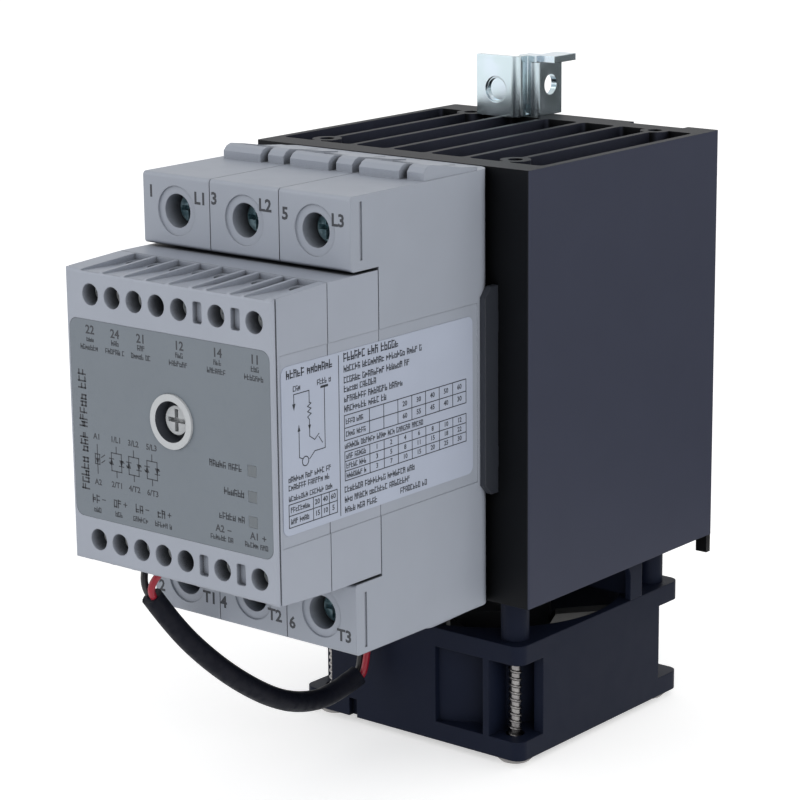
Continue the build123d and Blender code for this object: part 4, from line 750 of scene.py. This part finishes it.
@dataclass
class FrontPrint:
    """Printing on the control module's front label and by the status windows."""

    upper_row: tuple[tuple[str, float], ...] = (
        ("22", -20.5), ("24", -13.75), ("21", -6.8), ("12", 3.2), ("14", 13.0), ("11", 22.4))
    upper_levels: tuple[float, float, float] = (17.55, 15.8, 14.1)
    lower_row: tuple[tuple[float, bool, float], ...] = (
        (-19.8, False, 2.4), (-13.95, True, 2.4), (-8.0, False, 4.6), (-2.1, True, 4.6))
    poles: tuple[tuple[float, str, str], ...] = (
        (-14.45, "1/L1", "2/T1"), (-9.75, "3/L2", "4/T2"), (-4.85, "5/L3", "6/T3"))
    inputs: tuple[tuple[str, float, bool], ...] = (("A2", 13.4, False), ("A1", 22.2, True))
    isolator_place: float = -19.65
    status: tuple[Spot, ...] = ((-3.75, 8.8), (-8.7, 5.2), (-13.65, 6.6))
    status_end: float = 19.2
    line_ends: Spot = (-4.9, -11.0)
    small: float = 0.95
    code: float = 1.15
    arrow: float = 1.2
    half_switch: float = 1.35

    def build(self, material: bpy.types.Material) -> None:
        """Print the label."""
        ink = Printing("front_print", Side.FRONT, -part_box("front_label")[0].y)
        figures, first, second = self.upper_levels
        for text, place in self.upper_row:
            ink.number(text, (place, figures), 1.7)
            ink.words((place - 0.9, first), 1.9, self.small)
            ink.words((place - 2.6, second), 5.3, self.small)
        ink.words((-23.2, -14.6), 24.2, 1.9, turned=True)
        self.isolator(ink, self.isolator_place)
        for centre, above, below in self.poles:
            self.switch(ink, centre)
            ink.number(above, (centre, -3.5), self.code)
            ink.number(below, (centre, -12.6), self.code)
        for place, positive, width in self.lower_row:
            ink.words((place - 1.5, -16.3), 2.2, 1.5)
            self.sign(ink, (place + 1.5, -16.2), positive)
            ink.words((place - width / 2, -18.45), width, self.small)
        for height, width in self.status:
            ink.words((self.status_end - width, height), width, 1.2)
        for text, place, positive in self.inputs:
            ink.number(text, (place - 0.8, -16.45), 1.35)
            self.sign(ink, (place + 1.6, -16.45), positive)
            ink.words((place - 3.2, -18.2), 6.4, self.small)
        ink.finish(material, "label_grey")

    @staticmethod
    def sign(ink: Printing, centre: Spot, positive: bool, reach: float = 0.4) -> None:
        """Print a plus or a minus."""
        x, z = centre
        ink.stroke((x - reach, z), (x + reach, z))
        if positive:
            ink.stroke((x, z - reach), (x, z + reach))

    def isolator(self, ink: Printing, x: float) -> None:
        """Draw the light-coupled input beside the poles."""
        ink.number("A1", (x, -3.6), self.code)
        ink.number("A2", (x, -12.8), self.code)
        ink.stroke((x, -5.2), (x, self.line_ends[1]))
        ink.frame((x - 0.6, -7.1), (x + 0.6, -9.1))
        ink.triangle((x, -9.0), (x, -7.9), self.arrow)
        for height in (-7.6, -8.7):
            ink.stroke((x + 1.1, height), (x + 2.0, height + 0.6))

    def switch(self, ink: Printing, x: float) -> None:
        """Draw one pole: two thyristors in opposite directions."""
        half, (top, bottom), high, low = self.half_switch, self.line_ends, -6.2, -9.8
        ink.stroke((x, top), (x, high))
        ink.stroke((x, low), (x, bottom))
        ink.frame((x - half, high), (x + half, low))
        for side, tip in ((-1, -7.4), (1, -8.6)):
            base = high + low - tip
            middle = x + side * half
            ink.triangle((middle, tip), (middle, base), self.arrow)
            ink.stroke((middle - self.arrow / 2, tip), (middle + self.arrow / 2, tip))
            ink.stroke((middle, base), (x + side * 2.0, base - (base - tip) / 3))


@dataclass
class SidePrint:
    """Printing on the side label: a wiring sketch, two tables and lines of small print."""

    divider: float = -116.25
    lines: tuple[tuple[float, float, float, float], ...] = (
        (-114.7, 15.0, 17.0, 1.5), (-114.7, 12.75, 24.0, 1.15), (-114.7, 10.6, 20.4, 1.15),
        (-114.7, 8.85, 10.0, 1.15), (-114.7, 6.9, 17.4, 1.15), (-114.7, 5.0, 12.6, 1.15),
        (-114.7, -2.3, 24.0, 1.0), (-114.9, -10.8, 21.8, 1.1), (-114.9, -12.8, 19.8, 1.1),
        (-114.9, -14.8, 9.6, 1.1), (-98.2, -14.7, 9.0, 1.1),
        (-131.0, 14.6, 13.6, 1.45), (-129.2, 11.7, 2.4, 1.0), (-122.4, 11.7, 4.4, 1.0),
        (-130.9, -5.4, 12.6, 1.0), (-130.9, -7.0, 12.0, 1.0), (-130.9, -9.1, 12.4, 0.95))
    small_columns: tuple[float, ...] = (-131.0, -124.1, -121.8, -119.5, -117.2)
    small_rules: tuple[float, ...] = (-10.2, -12.4, -14.7)
    small_rows: tuple[tuple[float, str], ...] = ((-11.3, "20 40 60"), (-13.55, "15 10 5"))
    first_column: float = -114.8
    next_column: float = -107.4
    column_step: float = 4.3
    upper_rules: tuple[float, ...] = (3.7, 1.2, -1.2)
    upper_rows: tuple[tuple[float, str], ...] = ((2.45, "20 30 40 50 60"), (0.0, "60 55 45 40 30"))
    lower_rules: tuple[float, ...] = (-3.4, -5.3, -7.2, -9.1)
    lower_rows: tuple[tuple[float, str], ...] = (
        (-4.35, "1 2 4 6 8 10 12"), (-6.25, "3 5 8 11 15 18 22"), (-8.15, "3 7 10 15 20 25 30"))

    def build(self, material: bpy.types.Material) -> None:
        """Print the label."""
        ink = Printing("side_print", Side.RIGHT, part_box("side_label")[1].x, line=0.18, seed=11)
        ink.stroke((self.divider, 15.6), (self.divider, -15.6))
        for start, height, length, size in self.lines:
            ink.words((start, height), length, size)
        self.sketch(ink)
        ink.grid(self.small_columns, self.small_rules)
        self.fill(ink, self.small_columns[1:], self.small_rows, 1.0)
        for height, _ in self.small_rows:
            ink.words((-130.4, height), 5.6, 0.95)
        columns = [self.next_column + self.column_step * step for step in range(8)]
        for rules in (self.upper_rules, self.lower_rules):
            ink.grid((self.first_column, *columns), rules)
        self.fill(ink, columns[2:], self.upper_rows, 1.0)
        self.fill(ink, columns, self.lower_rows, 0.95)
        for height, _ in (*self.upper_rows, *self.lower_rows):
            ink.words((-114.3, height), 6.0, 0.95)
        ink.finish(material, "label_white")

    @staticmethod
    def fill(ink: Printing, rules: Sequence[float], rows: Iterable[tuple[float, str]], size: float) -> None:
        """Print the numbers of a table, each row's between the upright rules."""
        for height, texts in rows:
            for left, right, text in zip(rules, rules[1:], texts.split()):
                ink.number(text, ((left + right) / 2, height), size)

    def sketch(self, ink: Printing) -> None:
        """Draw the wiring sketch: a load, a supply and a change-over contact."""
        ink.stroke((-121.3, 10.6), (-119.6, 10.6), 0.45)
        ink.route([(-120.45, 10.6), (-120.45, -1.3), (-123.4, -1.3), (-124.9, -2.5)])
        ink.route([(-129.1, 8.8), (-129.1, 10.6), (-124.8, 10.6), (-124.8, 8.3)])
        ink.triangle((-129.1, 7.5), (-129.1, 8.8), 0.9)
        coil = [(-124.8 + 0.5 * (-1) ** step, 8.1 - 0.5 * step) for step in range(6)]
        ink.route([(-124.8, 8.3), *coil, (-124.8, 5.0), (-124.8, 1.8), (-123.4, 0.9), (-122.2, 1.8)])
        ink.triangle((-124.8, 3.0), (-124.8, 4.0), 0.8)
        ink.route([(-127.8, 4.4), (-127.8, -1.7), (-126.9, -2.1)])
        ink.triangle((-127.8, 4.4), (-127.8, 3.3), 0.8)
        ink.circle((-126.1, -2.7), 0.9)
        ink.stroke((-122.2, 1.2), (-121.2, -0.1))


@dataclass
class TerminalPrint:
    """Numbers beside the six power terminals."""

    upper: tuple[tuple[str, float, float], ...] = (
        ("1", -24.8, 41.2), ("L1", -11.5, 40.9), ("3", -7.8, 41.3),
        ("L2", 5.5, 41.3), ("5", 10.6, 40.3), ("L3", 23.8, 40.3))
    lower: tuple[tuple[str, float, float], ...] = (
        ("2", -25.2, -40.8), ("T1", -11.8, -40.8), ("4", -8.0, -41.0),
        ("T2", 5.8, -41.0), ("6", 10.4, -41.6), ("T3", 23.9, -41.6))
    height: float = 2.35
    bold: float = 0.045

    def build(self, material: bpy.types.Material) -> None:
        """Print every number."""
        ink = Printing("terminal_print", Side.FRONT, -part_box("pole_housing_1")[0].y, seed=3)
        for text, place, level in (*self.upper, *self.lower):
            ink.number(text, (place, level), self.height, self.bold)
        ink.finish(material, "label_grey")


# ---------------------------------------------------------------- screws

class Heading(Enum):
    """Way a screw points: the turn about X that brings +Z to it."""

    UP = 0.0
    BACK = -math.pi / 2
    FORWARD = math.pi / 2


class ScrewTree:
    """Geometry Nodes tree that sets a threaded, cross-recessed screw on each point."""

    LENGTHS: ClassVar[tuple[str, ...]] = (
        "Thread Radius", "Core Radius", "Pitch", "Head Radius", "Head Height",
        "Recess Length", "Recess Width", "Recess Depth")
    HEAD_SIDES: ClassVar[int] = 40
    CORE_SIDES: ClassVar[int] = 24
    THREAD_STEPS: ClassVar[int] = 20

    @staticmethod
    @functools.cache
    def tree() -> bpy.types.GeometryNodeTree:
        """The tree, made once."""
        made = bpy.data.node_groups.new("screws_on_points", "GeometryNodeTree")
        face = made.interface
        numbers = (*ScrewTree.LENGTHS, "Length", "Rim Share", "Heading")
        face.new_socket("Points", in_out="INPUT", socket_type="NodeSocketGeometry")
        for name in numbers:
            face.new_socket(name, in_out="INPUT", socket_type="NodeSocketFloat")
        face.new_socket("Metal", in_out="INPUT", socket_type="NodeSocketMaterial")
        face.new_socket("Screws", in_out="OUTPUT", socket_type="NodeSocketGeometry")
        graph = Graph(made)
        given = graph.add("NodeGroupInput")
        size = {name: given.output(name) for name in numbers}
        body = graph.join([ScrewTree.head(graph, size), *ScrewTree.shank(graph, size)])
        on_points = graph.add("GeometryNodeInstanceOnPoints", {
            "Points": given.output("Points"), "Instance": body, "Rotation": graph.vector(size["Heading"])})
        real = graph.add("GeometryNodeRealizeInstances", {0: on_points})
        done = graph.add("GeometryNodeSetMaterial", {"Geometry": real, "Material": given.output("Metal")})
        graph.add("NodeGroupOutput", {0: done})
        return made

    @staticmethod
    def head(graph: Graph, size: Mapping[str, Wire]) -> Wire:
        """A head with a bevelled rim below the origin, and a cross recess cut into it."""
        rim = size["Head Height"] * size["Rim Share"]
        side = size["Head Height"] - rim
        drum = graph.add("GeometryNodeMeshCylinder", {
            "Vertices": ScrewTree.HEAD_SIDES, "Radius": size["Head Radius"], "Depth": side})
        wall = graph.moved(drum, graph.vector(z=side * -0.5))
        grown = graph.add("GeometryNodeExtrudeMesh", {
            "Mesh": wall, "Selection": drum.output("Bottom"), "Offset Scale": rim}, mode="FACES")
        kept = (size["Head Radius"] - rim) / size["Head Radius"]
        head = graph.add("GeometryNodeScaleElements", {
            "Geometry": grown, "Selection": grown.output("Top"), "Scale": kept}, domain="FACE")
        low = graph.vector(z=size["Head Height"] * -1.0)
        for first, second in (("Recess Length", "Recess Width"), ("Recess Width", "Recess Length")):
            span = graph.vector(size[first], size[second], size["Recess Depth"] * 2.0)
            bar = graph.moved(graph.add("GeometryNodeMeshCube", {"Size": span}), low)
            head = graph.add("GeometryNodeMeshBoolean", {"Mesh 1": head, "Mesh 2": bar},
                             operation="DIFFERENCE", solver="EXACT")
        return head

    @staticmethod
    def shank(graph: Graph, size: Mapping[str, Wire]) -> tuple[Wire, Wire]:
        """The core above the origin, and the thread that winds round it."""
        core = graph.add("GeometryNodeMeshCylinder", {
            "Vertices": ScrewTree.CORE_SIDES, "Radius": size["Core Radius"], "Depth": size["Length"]})
        depth = size["Thread Radius"] - size["Core Radius"]
        wound = size["Length"] - depth * 2.0
        spiral = graph.add("GeometryNodeCurveSpiral", {
            "Resolution": ScrewTree.THREAD_STEPS, "Rotations": wound / size["Pitch"],
            "Start Radius": size["Core Radius"], "End Radius": size["Core Radius"], "Height": wound})
        ridge = graph.add("GeometryNodeCurvePrimitiveCircle", {"Resolution": 4, "Radius": depth})
        thread = graph.add("GeometryNodeCurveToMesh", {
            "Curve": graph.moved(spiral, graph.vector(z=depth)), "Profile Curve": ridge, "Fill Caps": True})
        return graph.moved(core, graph.vector(z=size["Length"] * 0.5)), thread


@dataclass
class Screws:
    """Screws of one size in place of a CAD node; sizes in millimetres."""

    node: str
    heading: Heading
    thread_radius: float
    core_radius: float
    pitch: float
    head_radius: float
    head_height: float
    recess_length: float
    recess_width: float
    recess_depth: float
    rim_share: float
    slot: str = "screw_steel"
    body: str = "root"

    def build(self, finish: Finish) -> bpy.types.Object:
        """Set the screws on their places and turn them into one plain mesh."""
        boxes = solid_boxes(self.node)
        low, high = boxes[0]
        mesh = bpy.data.meshes.new("seats")
        mesh.from_pydata([self.seat(low, high) for low, high in boxes], [], [])
        made = new_object(self.node + "_threaded", mesh)
        modifier = made.modifiers.new("screws", "NODES")
        modifier.node_group = ScrewTree.tree()
        values = {name: getattr(self, name.lower().replace(" ", "_")) * MM for name in ScrewTree.LENGTHS}
        values |= {"Length": max(high - low) - self.head_height * MM, "Rim Share": self.rim_share,
                   "Heading": self.heading.value, "Metal": finish.material()}
        for item in modifier.node_group.interface.items_tree:
            if item.name in values and item.in_out == "INPUT":
                modifier[item.identifier] = values[item.name]
        made = plain_mesh(made)
        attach(made, self.body)
        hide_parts(self.node)
        LOG.info("%s: %d screws, %d faces", made.name, len(boxes), len(made.data.polygons))
        return made

    def seat(self, low: Vector, high: Vector) -> Vector:
        """Middle of the underside of one head."""
        seat = (low + high) / 2
        if self.heading is Heading.UP:
            seat.z = low.z + self.head_height * MM
        elif self.heading is Heading.BACK:
            seat.y = low.y + self.head_height * MM
        else:
            seat.y = high.y - self.head_height * MM
        return seat


# ---------------------------------------------------------------- fan lead

@dataclass
class FanLead:
    """Black sleeve round the fan's two wires, and the wires' bare tails; sizes in millimetres."""

    route: tuple[Point, ...] = (
        (-17.6, -123.0, -38.8), (-16.0, -118.2, -46.4), (-14.2, -110.9, -54.6), (-12.8, -102.2, -62.1),
        (-12.2, -92.1, -68.6), (-12.3, -82.7, -72.0), (-11.4, -75.0, -72.2), (-9.4, -68.9, -69.0))
    diameter: float = 4.5
    length: float = 68.2
    wire_radius: float = 0.75
    straight: float = 2.5
    offset: float = 1.0
    windows: Spot = (-20.05, -14.2)
    window_y: float = -121.8
    cover_z: float = -29.3
    hang: float = 2.5
    entry_z: float = -61.0
    fan_y: float = -63.3
    window_depth: float = 2.6
    entry: tuple[Spot, Spot, Spot] = ((-3.6, -1.0), (-2.6, 0.6), (1.5, 0.0))

    @staticmethod
    def spline(name: str, points: Sequence[Vector], radius: float, finish: Finish) -> bpy.types.Object:
        """Make a round curve with these control points, in millimetres."""
        curve = round_curve(name, radius, 6, finish)
        curve.resolution_u = 16
        line = curve.splines.new("NURBS")
        line.points.add(len(points) - 1)
        for point, place in zip(line.points, points):
            point.co = (*(Vector(place) * MM), 1.0)
        line.order_u = 3
        line.use_endpoint_u = True
        return new_object(name, curve)

    def build(self) -> None:
        sleeve = self.spline("lead_sleeve", self.route, self.diameter / 2, BLACK_SLEEVE)
        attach(sleeve, "root")
        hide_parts("fan_lead")
        tails = [self.finish_tail(*tail) for tail in self.tails()]
        LOG.info("lead: sleeve and %d tails", len(tails))

    def finish_tail(self, name: str, points: Sequence[Vector], finish: Finish) -> bpy.types.Object:
        """Make one tail as a plain mesh on the fixed body."""
        tail = plain_mesh(self.spline(name, points, self.wire_radius, finish))
        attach(tail, "root")
        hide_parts("lead_wires")
        return tail

    def tails(self) -> Iterable[tuple[str, list[Vector], Finish]]:
        """Name, control points and finish of each tail."""
        points = [Vector(place) for place in self.route]
        back = (points[0] - points[1]).normalized()
        onward = (points[-1] - points[-2]).normalized()
        up = Vector((0.0, 0.0, 1.0))
        for side, window, colour, finish in ((-1, self.windows[0], "black", BLACK_WIRE),
                                             (1, self.windows[1], "red", RED_WIRE)):
            start = points[0] - back.cross(up).normalized() * side * self.offset
            inside = Vector((window, self.window_y, self.cover_z + self.window_depth))
            hanging = Vector((window, self.window_y, self.cover_z - self.hang))
            yield f"cover_tail_{colour}", [start, start + back * self.straight, hanging, inside], finish
            leave = points[-1] + onward.cross(up).normalized() * side * self.offset
            turn = leave + onward
            bends = [Vector((turn.x, self.fan_y + y, self.entry_z + z)) for y, z in self.entry]
            yield f"fan_tail_{colour}", [leave, turn, *bends], finish


# ---------------------------------------------------------------- the rest of the object

@dataclass
class PowerTerminals:
    """The six terminal screws, each on its own body."""

    places: str = "l1 l2 l3 t1 t2 t3"
    sizes: tuple[float, ...] = (2.5, 2.1, 0.8, 3.2, 5.0, 4.6, 1.0, 1.6, 0.12)

    def build(self) -> None:
        """Make each screw."""
        for place in self.places.split():
            node = f"power_screw_{place}"
            Screws(node, Heading.BACK, *self.sizes, body=node).build(SHADED_TERMINAL_STEEL)


@dataclass
class FixedScrews:
    """Screws that stay in the fixed body."""

    kinds: tuple[tuple[Screws, Finish], ...] = (
        (Screws("fan_screws", Heading.UP, 1.5, 1.12, 1.6, 3.85, 1.6, 4.2, 0.9, 0.8, 0.4),
         FAN_SCREW_STEEL),
        (Screws("control_screws", Heading.BACK, 1.25, 1.0, 0.5, 2.0, 2.1, 2.8, 0.6, 0.9, 0.14),
         GLINTING_CONTROL_STEEL),
        (Screws("rail_screws", Heading.FORWARD, 1.5, 1.2, 0.5, 2.8, 1.6, 3.4, 0.8, 0.9, 0.35),
         SCREW_STEEL),
        (Screws("latch_guides", Heading.FORWARD, 1.5, 1.2, 0.5, 3.2, 1.25, 3.8, 0.8, 0.7, 0.35),
         SCREW_STEEL),
    )

    def build(self) -> None:
        """Make each kind."""
        for kind, finish in self.kinds:
            kind.build(finish)


@dataclass
class Trimmer:
    """Current-limit trimmer: a pale ring, a bore painted dark as shade, and a pale knob; sizes in
    millimetres.
    """

    bore_radius: float = 4.1
    ring_depth: float = 0.7

    def build(self) -> None:
        """Paint shade on the faces inside the bore with a dark material."""
        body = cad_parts["trimmer_body"]
        low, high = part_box("trimmer_body")
        middle = (low + high) / 2
        # Painted shade: faces down the bore get the dark material.
        body.data.materials.append(BORE_SHADE.material())
        for face in body.data.polygons:
            centre = face.center
            away = math.hypot(centre.x - middle.x, centre.z - middle.z)
            if away < self.bore_radius * MM and centre.y > low.y + self.ring_depth * MM:
                face.material_index = 1
        LOG.info("trimmer: bore darkened")


@dataclass
class LatchSpring:
    """Spring behind the latch, which on the real object shortens as the latch is pulled; here it is a fixed
    coil on the fixed body; sizes in millimetres.
    """

    wire: float = 0.3
    coils: int = 7
    steps: int = 24
    keep: float = 0.65

    def build(self) -> None:
        """Wind the spring between the post and the top of the latch's window."""
        low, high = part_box("latch_spring")
        middle = (low + high) / 2
        radius = (high.x - low.x) / 2 - self.wire * MM
        curve = round_curve("latch_coil", self.wire, 2, SPRING_STEEL)
        line = curve.splines.new("POLY")
        count = self.coils * self.steps
        line.points.add(count)
        for step, point in enumerate(line.points):
            turn = 2 * math.pi * step / self.steps
            rise = low.z + self.wire * MM + (high.z - low.z - 2 * self.wire * MM) * step / count
            point.co = (middle.x + radius * math.cos(turn), middle.y + radius * math.sin(turn), rise, 1.0)
        spring = plain_mesh(new_object("latch_coil", curve))
        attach(spring, "root")
        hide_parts("latch_spring")
        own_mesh(spring)
        LOG.info("latch spring: %d coils", self.coils)


# ---------------------------------------------------------------- studio

@dataclass
class Studio:
    """Floor, world, lamps and camera."""

    camera_place: Point = (0.35071, -0.49374, 0.12999)
    camera_azimuth: float = 39.3
    camera_elevation: float = 13.9
    camera_roll: float = -0.56
    lens: float = 122.33
    floor_span: float = 30.0
    room_light: float = 0.60
    dim_side: float = 0.1
    side_edge: Spot = (-0.45, 0.15)
    floor_glow: float = 0.50
    floor_tones: Spot = (0.86, 0.88)
    board_near: float = 0.12
    board_far: float = 2.0
    board_half: float = 0.5
    lamp_side: float = 1.6
    lamps: tuple[tuple[Point, float], ...] = (
        ((1.6, -1.2, 0.9), 13.5), ((-1.4, -1.5, 0.8), 8.0), ((0.9, 1.5, 0.9), 5.0))

    def build(self) -> None:
        """Make the whole studio."""
        self.make_world()
        self.make_floor()
        self.make_board()
        for number, (place, power) in enumerate(self.lamps, 1):
            self.make_lamp(f"soft_lamp_{number}", Vector(place), power)
        self.make_camera()
        bpy.context.scene.view_settings.view_transform = "Standard"

    def make_board(self) -> None:
        """Dark board on the floor behind, seen only in gloss: a painted dark reflection, which bare metal
        needs for contrast.
        """
        turn = math.radians(self.camera_azimuth)
        ahead = Vector((math.sin(turn), math.cos(turn), 0.0))
        aside = Vector((math.cos(turn), -math.sin(turn), 0.0)) * self.board_half
        lift = Vector((0.0, 0.0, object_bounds()[0].z + 1 * MM))
        near, far = ahead * self.board_near + lift, ahead * self.board_far + lift
        board = flat_sheet("dark_board", [near - aside, near + aside, far + aside, far - aside],
                           Finish("board_black", (0.01, 0.014, 0.016), 0.9).material())
        board.visible_camera = board.visible_diffuse = board.visible_shadow = False
        board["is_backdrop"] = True

    def make_world(self) -> None:
        """White room for the camera; in gloss and glass it is dim on the right; plain light for the rest."""
        world = bpy.data.worlds.new("room")
        world.use_nodes = True
        graph = Graph(world.node_tree)
        path = graph.add("ShaderNodeLightPath")
        right, _, _ = graph.axes(graph.add("ShaderNodeTexCoord", out="Generated"))
        mirrored = graph.step(right * -1.0, *self.side_edge) * (1 - self.dim_side) + self.dim_side
        seen = path.output("Is Glossy Ray") + path.output("Is Transmission Ray")
        strength = path.output("Is Camera Ray") + seen * mirrored
        direct = graph.math("MINIMUM", path.output("Is Camera Ray") + seen, 1.0)
        back = graph.add("ShaderNodeBackground", {
            "Color": (1.0, 1.0, 1.0, 1.0), "Strength": strength + (1.0 - direct) * self.room_light})
        graph.add("ShaderNodeOutputWorld", {"Surface": back})
        bpy.context.scene.world = world

    def make_floor(self) -> None:
        """Pale floor under the lowest screw heads."""
        low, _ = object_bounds()
        half = self.floor_span / 2
        made = bpy.data.materials.new("floor")
        made.use_nodes = True
        graph = Graph(made.node_tree)
        where = graph.add("ShaderNodeTexCoord", out="Object")
        dark, light = self.floor_tones
        pale = graph.mix(graph.noise(where, 50 * MM), (dark, dark, dark), (light, light, light))
        matt = graph.add("ShaderNodeBsdfDiffuse", {"Color": pale})
        path = graph.add("ShaderNodeLightPath")
        shown = path.output("Is Glossy Ray") + path.output("Is Transmission Ray")
        shown = shown + path.output("Is Camera Ray")
        glow = graph.add("ShaderNodeEmission", {"Strength": shown * self.floor_glow})
        both = graph.add("ShaderNodeAddShader", {0: matt, 1: glow})
        graph.add("ShaderNodeOutputMaterial", {"Surface": both})
        corners = [(-half, -half, low.z), (half, -half, low.z), (half, half, low.z), (-half, half, low.z)]
        flat_sheet("floor", corners, made)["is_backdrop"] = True

    def make_lamp(self, name: str, place: Vector, power: float) -> None:
        """Square soft lamp that faces the object."""
        data = bpy.data.lights.new(name, "AREA")
        data.size = self.lamp_side
        data.energy = power
        lamp = new_object(name, data)
        lamp.location = place
        lamp.rotation_mode = "QUATERNION"
        lamp.rotation_quaternion = (-place).to_track_quat("-Z", "Y")

    def make_camera(self) -> None:
        """Camera to the right of the front, a little above."""
        azimuth, elevation, roll = (math.radians(angle) for angle in
                                    (self.camera_azimuth, self.camera_elevation, self.camera_roll))
        back = Vector((math.sin(azimuth) * math.cos(elevation), -math.cos(azimuth) * math.cos(elevation),
                       math.sin(elevation)))
        right = Vector((0.0, 0.0, 1.0)).cross(back).normalized()
        upward = back.cross(right)
        across = right * math.cos(roll) + upward * math.sin(roll)
        along = upward * math.cos(roll) - right * math.sin(roll)
        data = bpy.data.cameras.new("camera")
        data.lens = self.lens
        data.clip_start = 0.01
        data.clip_end = 100.0
        camera = new_object("camera", data)
        turn = Matrix((across, along, back)).transposed().to_4x4()
        camera.matrix_world = Matrix.Translation(self.camera_place) @ turn
        bpy.context.scene.camera = camera


def main() -> None:
    """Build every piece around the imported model, in order."""
    logging.basicConfig(level=logging.INFO, format="%(name)s: %(message)s")
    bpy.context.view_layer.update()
    Studio().build()
    dress_cad_nodes()
    ink = INK.material()
    for piece in (Trimmer(), LatchSpring(), PowerTerminals(), FixedScrews(), FanLead()):
        piece.build()
    for printing in (FrontPrint(), SidePrint(), TerminalPrint()):
        printing.build(ink)


if __name__ == "__main__":
    main()
